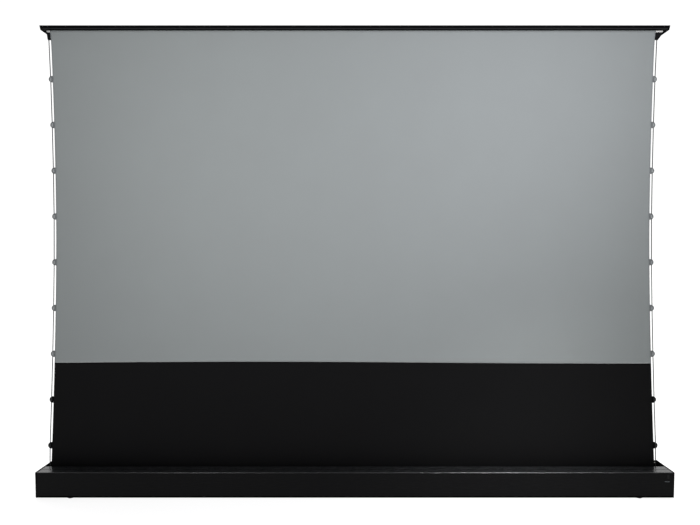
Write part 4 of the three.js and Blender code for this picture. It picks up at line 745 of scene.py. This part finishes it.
# Roller with the last turns of the cloth and cords
foot_half = float(half_width(SHEET_BOTTOM))
wind = np.linspace(0, LAST_TURNS, 121)
wind_widths = np.full(len(wind), foot_half)
wind_radius = WINDING_RADIUS + SHEET_THICKNESS - wind * WINDING_PITCH
wind_path = np.stack([
    ROLLER_Y + wind_radius * np.cos(-wind * TURN),
    ROLLER_Z + wind_radius * np.sin(-wind * TURN),
], 1)
wound_points = sheet_points(wind_path, wind_widths, 24, pulled=False)
wound_mesh = grid_mesh("wound_cloth", [(wound_points, False, False)])
wound_cloth = place_piece("wound_cloth", wound_mesh, [black_masking_cloth], "roller", ["wound_fabric"])
thicken(wound_cloth, "cloth_thickness", SHEET_THICKNESS)

wrap = np.linspace(0, LAST_TURNS, 91)
wrap_points = np.stack([
    CORD_FOOT + wrap * 3.6 * MM,
    ROLLER_Y + WINDING_RADIUS * np.cos(-wrap * TURN),
    ROLLER_Z + WINDING_RADIUS * np.sin(-wrap * TURN),
], 1)
for side in SIDES:
    line_piece(
        f"wound_cord_{side}_turns", beside_sheet(wrap_points, side), CORD_RADIUS, (1, 0, 0),
        braided_polyester, "roller", f"wound_cord_{side}")

spool_inner = foot_half + 0.6 * MM
tube_end = spool_inner - CLEARANCE


def spool_profile(bore):
    """The spool's turned section from its neck in the tube to its outer flange, closed along the bore."""
    start = tube_end - 28 * MM
    groove, groove_end, outer = spool_inner + 1.5 * MM, spool_inner + 10.5 * MM, spool_inner + 12 * MM
    floor, neck = WINDING_RADIUS - CORD_RADIUS - CLEARANCE, TUBE_BORE - CLEARANCE
    return [
        (start, bore), (start, neck), (spool_inner, neck), (spool_inner, SPOOL_RADIUS),
        (groove, SPOOL_RADIUS), (groove, floor), (groove_end, floor), (groove_end, SPOOL_RADIUS),
        (outer, SPOOL_RADIUS), (outer, bore),
    ]


def mirrored_profile(profile, sign=-1):
    """The same section drawn for the left-hand end, or as it is where sign is 1."""
    return [(sign * along, radius) for along, radius in profile]


on_fabric = (FABRIC_X, ROLLER_Y, ROLLER_Z)
turned_piece(
    "motor_side_cord_spool", spool_profile(22.8 * MM), "x", on_fabric, natural_acetal, "roller",
    ["motor_side_spool"], steps=96, closed=True)
turned_piece(
    "idler_cord_spool", mirrored_profile(spool_profile(5.3 * MM)), "x", on_fabric, natural_acetal, "roller",
    ["idler_spool"], steps=96, closed=True)
tube_profile = [
    (-tube_end, TUBE_BORE), (-tube_end, TUBE_RADIUS), (tube_end, TUBE_RADIUS), (tube_end, TUBE_BORE),
]
turned_piece(
    "roller_tube_turned", tube_profile, "x", on_fabric, turned_bare_aluminium, "roller", ["roller_tube"],
    steps=96, closed=True)
rounded_copy("drive_wheel", 0.4 * MM)

# Tubular motor, in mm past its inner and its outer end: stub bearing, body, two crimp rings and head
motor_start, motor_end = spool_inner - 560 * MM, spool_inner + 12.3 * MM
motor_inner = [
    (-16, 0), (-16, 7.4), (-15.4, 8), (0, 8), (0, 20.5), (2, 22.5),
    (118, 22.5), (119, 21.9), (122, 21.9), (123, 22.5),
]
motor_outer = [
    (-40, 22.5), (-39, 21.9), (-36, 21.9), (-35, 22.5),
    (0, 22.5), (0, 25.4), (0.6, 26), (8, 26), (8, 0),
]
motor_profile = [
    (end + along * MM, radius * MM)
    for end, points in ((motor_start, motor_inner), (motor_end, motor_outer)) for along, radius in points
]
# Its square stub, 12 mm across, from the head into the motor plate
stub_corners = [(-1, -1), (1, -1), (1, 1), (-1, 1)]
stub_rows = np.array([
    [(FABRIC_X + motor_end + along, ROLLER_Y + a * 6 * MM, ROLLER_Z + b * 6 * MM) for a, b in stub_corners]
    for along in (8 * MM, 17.3 * MM)
])
motor_mesh = grid_mesh("tubular_motor_crimped", [
    (turned_points(motor_profile, "x", on_fabric, 64), False, True),
    (capped(stub_rows), False, True),
])
weld(motor_mesh)
place_piece(
    "tubular_motor_crimped", motor_mesh, [zinc_plating], "base", ["tubular_motor"], rounding=0.3 * MM)

# Housing, plates, arms, lid and controls keep the solids' own shapes, with rounded edges
for node, rounding in {
    "housing_tray": 0.5, "motor_plate": 0.5, "idler_plate": 0.4, "control_box": 0.8,
    "receiver_window": 0.3, "status_light": 0.3, "power_panel": 0.3, "power_rocker": 0.4,
    "lid_top_plate": 0.4, "lid_rear_skirt": 0.5,
    "base_clevis_left": 0.6, "base_clevis_right": 0.6, "lid_clevis_left": 0.6, "lid_clevis_right": 0.6,
}.items():
    rounded_copy(node, rounding * MM)


def on_front_edge(at):
    """The cover's two long edges, on either side of its narrow chamfer between top and front; the short
    ones at its ends lie more than 1.3 m from its middle."""
    near = 1.7 * MM
    return (at[:, 2] > BASE_TOP - near) & (at[:, 1] < BASE_FRONT + near) & (np.abs(at[:, 0]) < 1.3)


def on_top(at, facing):
    """The cover's top, in front of the slot."""
    return (facing[:, 2] > 0.9) & (at[:, 2] > BASE_TOP - 0.5 * MM)


def on_chamfer(_, facing):
    """What faces up and forward at once."""
    return (facing[:, 2] > 0.3) & (facing[:, 1] < -0.3)


# The front takes the darker painted-shade copy of the anodising, and the top the paler painted-light copy
rounded_copy(
    "front_cover", 0.4 * MM, painted_shade_front_anodising, long_edge=1.04 * MM, long_edge_at=on_front_edge,
    others=[(painted_light_top_anodising, on_top), (burnished_edge, on_chamfer)])
rounded_copy("lid_front_skirt", 0.4 * MM, lip_anodising_painted_highlight)

# The caps' flanges: over the ends of the housing's top, round its front edge and down its front
FLANGE_RISE, FLANGE_SINK, FLANGE_INNER = 0.5 * MM, 0.4 * MM, 1391 * MM
flange_path = np.array([(81.5, 114), (-80.6, 114), (-82.1, 113.6), (-82.5, 112.1), (-82.5, 5)]) * MM
flange_outward = [(0, 1), (-0.2, 0.98), (-0.71, 0.71), (-0.98, 0.2), (-1, 0)]
flange_outer = cap_face(flange_path[:, 1]) - 0.4 * MM
flange_across = np.stack([np.full(len(flange_path), FLANGE_INNER), flange_outer], 1)
flange = swept_section(flange_path, flange_outward, flange_across, (-FLANGE_SINK, FLANGE_RISE))

# The gussets' inner ribs: 4 mm deep, along the sheet's edge, from the tip up to just below the hem rod
RIB_ROWS = 16
rib_heights = np.linspace(GUSSET_TIP, 2063 * MM, RIB_ROWS)
rib_path = np.stack([np.full(RIB_ROWS, -2 * MM), rib_heights], 1)
rib_across = np.stack([half_width(rib_heights) + 1 * MM, np.full(RIB_ROWS, half_width(HEM_Z) + 1.4 * MM)], 1)
rib = swept_section(rib_path, [(-1, 0)] * RIB_ROWS, rib_across, (-4 * MM, 0))
for side in SIDES:
    for name, points, finish, body in (
        (f"cap_flange_{side}", with_side(flange, side), matt_black_abs, "base"),
        (f"gusset_rib_{side}", beside_sheet(rib, side), glass_filled_nylon, "lid"),
    ):
        mesh = grid_mesh(name, [(points, False, True)])
        weld(mesh)
        place_piece(name, mesh, [finish], body, rounding=0.2 * MM)
for side in SIDES:
    rounded_copy(f"end_cap_{side}", 0.7 * MM, matt_black_abs)
    rounded_copy(f"lid_cap_{side}", 0.6 * MM, matt_black_abs)
    rounded_copy(f"tension_gusset_{side}", 0.4 * MM, glass_filled_nylon)
    for level in ("lower", "upper"):
        rounded_copy(f"{level}_arm_{side}", 0.6 * MM, blasted_black_anodising)


# Springs and cables in the lower arms
def along_lower_arm(points, side):
    """Points drawn in the lower arm's own frame, its length along x from the base pivot, put where the
    arm stands at rest."""
    x, y, z = np.asarray(points, float).T
    sin, cos = math.sin(REST_ANGLE), math.cos(REST_ANGLE)
    return with_side(np.stack([ARM_SPREAD - x * cos - z * sin, y, BASE_PIVOT_Z + x * sin - z * cos], 1), side)


CURLS, CURL_STEPS, SPRING_PITCH, LEAD = 18, 26, 12 * MM, 8 * MM
SPRING_START, SPRING_RADIUS, WIRE_RADIUS = 57.3 * MM, 5.5 * MM, 1.5 * MM
turns = np.linspace(0, CURLS, CURLS * CURL_STEPS + 1)
coil_radius = SPRING_RADIUS * np.clip(np.minimum(2 * turns, 2 * (CURLS - turns)), 0, 1)
coil = np.stack([
    SPRING_START + LEAD + SPRING_PITCH * turns,
    LOWER_ARM_Y + coil_radius * np.sin(turns * TURN),
    coil_radius * np.cos(turns * TURN),
], 1)
lead = np.linspace(0, LEAD, 5)[:-1]
spring_end = SPRING_START + 2 * LEAD + CURLS * SPRING_PITCH
lead_in, lead_out = (
    np.stack([along, np.full(len(lead), LOWER_ARM_Y), np.zeros(len(lead))], 1)
    for along in (SPRING_START + lead, spring_end - lead[::-1])
)
spring_path = np.concatenate([lead_in, coil, lead_out])

CABLE_TRACK, CABLE_RADIUS, CABLE_WRAP = 12.8 * MM, 1.25 * MM, math.radians(100)
cable_start = spring_end + CLEARANCE
cable_lean = math.asin(CABLE_TRACK / (ARM_LENGTH - cable_start))
sweep = math.pi / 2 + cable_lean - np.linspace(0, CABLE_WRAP, 40)
over_pulley = np.stack([
    ARM_LENGTH + CABLE_TRACK * np.cos(sweep), np.full(len(sweep), LOWER_ARM_Y), CABLE_TRACK * np.sin(sweep),
], 1)
straight = np.linspace((cable_start, LOWER_ARM_Y, 0), over_pulley[0], 30, endpoint=False)
cable_path = np.concatenate([straight, over_pulley])
for side in SIDES:
    tip, root = along_lower_arm([(1, 0, 0), (0, 0, 0)], side)
    line_piece(
        f"long_spring_{side}", along_lower_arm(spring_path, side), WIRE_RADIUS, tip - root,
        oiled_spring_wire, f"lower_arm_{side}", f"arm_spring_{side}")
    line_piece(
        f"stranded_cable_{side}", along_lower_arm(cable_path, side), CABLE_RADIUS, (0, 1, 0),
        stranded_steel, f"lower_arm_{side}", f"arm_cable_{side}")

# Pivot pins, elbow pins and pulleys
PIN_RADIUS, HEAD_RADIUS, HEAD_THICKNESS, COLLAR_RADIUS = 6 * MM, 10 * MM, 2.5 * MM, 12 * MM
CLEVIS_WALL = 3 * MM
elbow_x = ARM_SPREAD - ARM_LENGTH * math.cos(REST_ANGLE)
elbow_z = BASE_PIVOT_Z + ARM_LENGTH * math.sin(REST_ANGLE)


def pin_profile(front, rear, collar=()):
    """A headed pin from front to rear with a dished head at each end and, on an elbow, a spacer collar
    between the arms."""
    middle = [(front, PIN_RADIUS), (rear, PIN_RADIUS)]
    if collar:
        steps = zip(np.repeat(collar, 2), (PIN_RADIUS, COLLAR_RADIUS, COLLAR_RADIUS, PIN_RADIUS))
        middle[1:1] = list(steps)
    # One head from its dished middle to the shank, as distance below its outer face and radius
    head = [(0.6, 0), (0.6, 4), (0, 5), (0, 9.2), (0.8, 10), (HEAD_THICKNESS / MM, HEAD_RADIUS / MM)]
    front_head = [(front - HEAD_THICKNESS + below * MM, radius * MM) for below, radius in head]
    rear_head = [(rear + HEAD_THICKNESS - below * MM, radius * MM) for below, radius in head[::-1]]
    return [*front_head, *middle, *rear_head]


# Turned section of a pulley: distance from its middle and radius
PULLEY_PROFILE = np.array([
    (-6.7, 6.3), (-6.7, 15), (-4.1, 15), (-1.9, 11.6), (-1.1, 11.25),
    (1.1, 11.25), (1.9, 11.6), (4.1, 15), (6.7, 15), (6.7, 6.3),
]) * MM
overhang = CLEVIS_WALL + 2 * CLEARANCE
elbow_pin = pin_profile(
    LOWER_ARM_FRONT - CLEARANCE, UPPER_ARM_FRONT + ARM_DEPTH + CLEARANCE,
    (LOWER_ARM_FRONT + ARM_DEPTH + CLEARANCE, UPPER_ARM_FRONT - CLEARANCE))
for side, sign in SIDES.items():
    for end, z, arm_front in (("base", BASE_PIVOT_Z, LOWER_ARM_FRONT), ("lid", LID_PIVOT_Z, UPPER_ARM_FRONT)):
        pivot_pin = pin_profile(arm_front - overhang, arm_front + ARM_DEPTH + overhang)
        turned_piece(
            f"{end}_pin_{side}", pivot_pin, "y", (sign * ARM_SPREAD, 0, z), zinc_plating, end,
            [f"{end}_pivot_pin_{side}"], rounding=0)
    turned_piece(
        f"elbow_pin_{side}_turned", elbow_pin, "y", (sign * elbow_x, 0, elbow_z), zinc_plating,
        f"upper_arm_{side}", [f"elbow_pin_{side}"], rounding=0)
    turned_piece(
        f"elbow_pulley_{side}_turned", PULLEY_PROFILE, "y", (sign * elbow_x, LOWER_ARM_Y, elbow_z),
        natural_acetal, f"upper_arm_{side}", [f"elbow_pulley_{side}"], closed=True)

# Hem rod with a sleeve on each end
ROD_END, ROD_RADIUS, ROD_CHAMFER = 1387.7 * MM, 5 * MM, 0.6 * MM
rod_half = [(ROD_END, 0), (ROD_END, ROD_RADIUS - ROD_CHAMFER), (ROD_END - ROD_CHAMFER, ROD_RADIUS)]
rod_profile = mirrored_profile(rod_half) + rod_half[::-1]
turned_piece(
    "hem_rod_turned", rod_profile, "x", (0, HEM_Y, HEM_Z), turned_bare_aluminium, "lid", ["hem_rod"],
    rounding=0)
for side, sign in SIDES.items():
    start = sign * FABRIC_X + float(half_width(HEM_Z)) + 1 * MM
    lip, bore = 0.3 * MM, ROD_RADIUS + 0.05 * MM
    sleeve_profile = [
        (start, bore), (start, HEM_RADIUS - lip), (start + lip, HEM_RADIUS),
        (ROD_END - lip, HEM_RADIUS), (ROD_END, HEM_RADIUS - lip), (ROD_END, bore),
    ]
    turned_piece(
        f"rod_sleeve_{side}", mirrored_profile(sleeve_profile, sign), "x", (0, HEM_Y, HEM_Z),
        natural_acetal, "lid", rounding=0, closed=True)

# Feet: two rings stand 0.6 mm out of the sole of each; height and radius
FOOT_PROFILE = np.array([
    (0.6, 0), (0.6, 8.5), (0, 9.2), (0, 10.2), (0.6, 10.9), (0.6, 11.6), (0, 12.3), (0, 13), (1, 14),
    (3.85, 14), (3.85, 0),
]) * MM
for row in ("front", "rear"):
    for side in SIDES:
        low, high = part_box(f"foot_{row}_{side}")
        middle = ((low.x + high.x) / 2, (low.y + high.y) / 2, 0)
        turned_piece(
            f"foot_{row}_{side}_ribbed", FOOT_PROFILE, "z", middle, foot_rubber, "base",
            [f"foot_{row}_{side}"], rounding=0.2 * MM)

# Lift button: a collar inside the panel, and a dished face outside it
low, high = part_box("lift_button")
button_profile = [
    (low.y, 0), (low.y, 7 * MM), (low.y + 1.5 * MM, 7 * MM), (low.y + 1.5 * MM, 5 * MM),
    (high.y, 5 * MM), (high.y, 3.8 * MM), (high.y - 0.5 * MM, 3 * MM), (high.y - 0.7 * MM, 0),
]
turned_piece(
    "lift_button_dished", button_profile, "y", ((low.x + high.x) / 2, 0, (low.z + high.z) / 2),
    textured_black_abs, "lift_button", ["lift_button"], rounding=0.25 * MM)

# Screws: their turned section, in shares of the head's height and radius; two rows make the socket
SCREW_PROFILE = np.array([
    (0, 0), (0, 1), (0.45, 1), (0.8, 0.86), (1, 0.62), (1, 0.42), (0.35, 0.42), (0.3, 0),
])
SOCKET_ROWS = (5, 6)


def socket_screw(name, places, axis, way, head, height, material, body):
    """Round-headed screws with a hexagon socket, standing on the given places and looking along axis in
    the direction way."""
    profile = SCREW_PROFILE * (way * height, head)
    grids = [(turned_points(profile, axis, place, 24, hexagonal=SOCKET_ROWS), False, True) for place in places]
    mesh = grid_mesh(name, grids)
    weld(mesh)
    return place_piece(name, mesh, [material], body, sharp=40)


def both_sides_of(x, reach):
    """The two places at the reach below and above a middle x."""
    return (x - reach, x + reach)


CLEVIS_FLOOR, CLEVIS_CEILING, CLEVIS_REACH = 9.9 * MM, 2075.1 * MM, 21 * MM
CAP_SCREWS = [(-62.5 * MM, 101.5 * MM), (74 * MM, 12 * MM)]
for side, sign in SIDES.items():
    lug_place = (sign * 1379.5 * MM, 63.7 * MM, 107 * MM)
    socket_screw(
        f"lug_screw_{side}", [lug_place], "z", 1, 3.6 * MM, 2.2 * MM, nickel_plating, "base")
    for end, y, z, way in (("base", LOWER_ARM_Y, CLEVIS_FLOOR, 1), ("lid", UPPER_ARM_Y, CLEVIS_CEILING, -1)):
        spots = [(sign * x, y, z) for x in both_sides_of(ARM_SPREAD, CLEVIS_REACH)]
        socket_screw(
            f"{end}_clevis_screws_{side}", spots, "z", way, 4 * MM, 3 * MM, blackened_screws, end)
    spots = [(sign * (cap_face(z) - 0.1 * MM), y, z) for y, z in CAP_SCREWS]
    socket_screw(
        f"end_cap_screws_{side}", spots, "x", sign, 3.2 * MM, 1.8 * MM, blackened_screws, "base")
low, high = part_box("power_panel")
panel_x, panel_z = both_sides_of((low.x + high.x) / 2, 51 * MM), both_sides_of(58 * MM, 18 * MM)
spots = [(x, high.y, z) for x in panel_x for z in panel_z]
socket_screw("power_panel_screws", spots, "y", 1, 2.4 * MM, 1.2 * MM, blackened_screws, "base")

# Studio floor: pale, and glowing enough to read as white, but with a painted shadow under the housing, where
# the glow fades out from 10 to 20 mm inside its outline
FLOOR_HALF, FLOOR_GLOW, GLOW_FROM, GLOW_TO = 40, 0.85, -20 * MM, -10 * MM
floor_lines = np.linspace(-FLOOR_HALF, FLOOR_HALF, 21)
floor_x, floor_y = np.meshgrid(floor_lines, floor_lines, indexing="ij")
floor_points = np.stack([floor_x, floor_y, np.zeros_like(floor_x)], 2)[::-1]
floor_mesh = grid_mesh("studio_floor", [(floor_points, False, False)])
floor_material, floor_tree, floor_skin = start_material("pale_floor", gloss=0.1, **{
    "Base Color": (0.4, 0.4, 0.4, 1), "Roughness": 0.9, "Emission Color": (1, 1, 1, 1),
})
place = add_node(floor_tree, "ShaderNodeTexCoord").outputs["Object"]
away = add_node(floor_tree, "ShaderNodeVectorMath", {0: place}, operation="ABSOLUTE").outputs[0]
outline = {0: away, 1: (1390 * MM, -BASE_FRONT, 0)}
away = add_node(floor_tree, "ShaderNodeVectorMath", outline, operation="SUBTRACT").outputs[0]
away_x, away_y = add_node(floor_tree, "ShaderNodeSeparateXYZ", {0: away}).outputs[:2]
beside = add_node(floor_tree, "ShaderNodeMath", {0: away_x, 1: away_y}, operation="MAXIMUM").outputs[0]
glow = {"Value": beside, "From Min": GLOW_FROM, "From Max": GLOW_TO, "To Min": 0.0, "To Max": FLOOR_GLOW}
glow = add_node(floor_tree, "ShaderNodeMapRange", glow).outputs[0]
floor_tree.links.new(glow, floor_skin.inputs["Emission Strength"])
floor_mesh.materials.append(floor_material)
studio_floor = bpy.data.objects.new("studio_floor", floor_mesh)
bpy.context.scene.collection.objects.link(studio_floor)

# Studio surroundings: white where the camera sees them, and otherwise bright behind the screen and dim
# in front of it, so that its black faces stay black
world = bpy.data.worlds.new("studio_white")
world.use_nodes = True
bpy.context.scene.world = world
sky = world.node_tree
sky.nodes.clear()
direction = add_node(sky, "ShaderNodeTexCoord").outputs["Generated"]
backward = add_node(sky, "ShaderNodeSeparateXYZ", {0: direction}).outputs[1]
fade = {"Value": backward, "From Min": -0.15, "From Max": 0.6, "To Min": 0.1, "To Max": 2.0}
strength = add_node(sky, "ShaderNodeMapRange", fade).outputs[0]
room = add_node(sky, "ShaderNodeBackground", {"Color": (1, 1, 1, 1), "Strength": strength}).outputs[0]
seen = add_node(sky, "ShaderNodeBackground", {"Color": (1, 1, 1, 1), "Strength": 1.1}).outputs[0]
camera_ray = add_node(sky, "ShaderNodeLightPath").outputs["Is Camera Ray"]
blend = add_node(sky, "ShaderNodeMixShader", {0: camera_ray, 1: room, 2: seen}).outputs[0]
add_node(sky, "ShaderNodeOutputWorld", {"Surface": blend})


def soft_light(name, place, target, size, power, spread=180, tone=(1, 1, 1)):
    """A square soft box that stands at place, faces target, sends its light within spread degrees and
    isn't seen itself."""
    data = bpy.data.lights.new(name, "AREA")
    data.shape, data.size, data.energy, data.color = "SQUARE", size, power, tone
    data.spread = math.radians(spread)
    box = bpy.data.objects.new(name, data)
    box.location = place
    box.rotation_mode = "QUATERNION"
    box.rotation_quaternion = (Vector(target) - Vector(place)).to_track_quat("-Z", "Y")
    box.visible_camera = False
    bpy.context.scene.collection.objects.link(box)


# Three soft boxes: one at each side, turned across the sheet, and a small steep one for the front edge
soft_light("key_softbox", (1.335, -1.53, 1.62), (-3.1, 0, 3.22), 0.6, 34.2, tone=(1, 0.99, 1.05))
soft_light("fill_softbox", (-1.2, -1.47, 1.47), (3.4, 0, 2.18), 0.6, 14.5)
soft_light("edge_softbox", (1.15, -1.15, 2.0), (0.76, -0.35, 0), 0.4, 2.8, spread=40)
bpy.context.scene.view_settings.view_transform = "Standard"
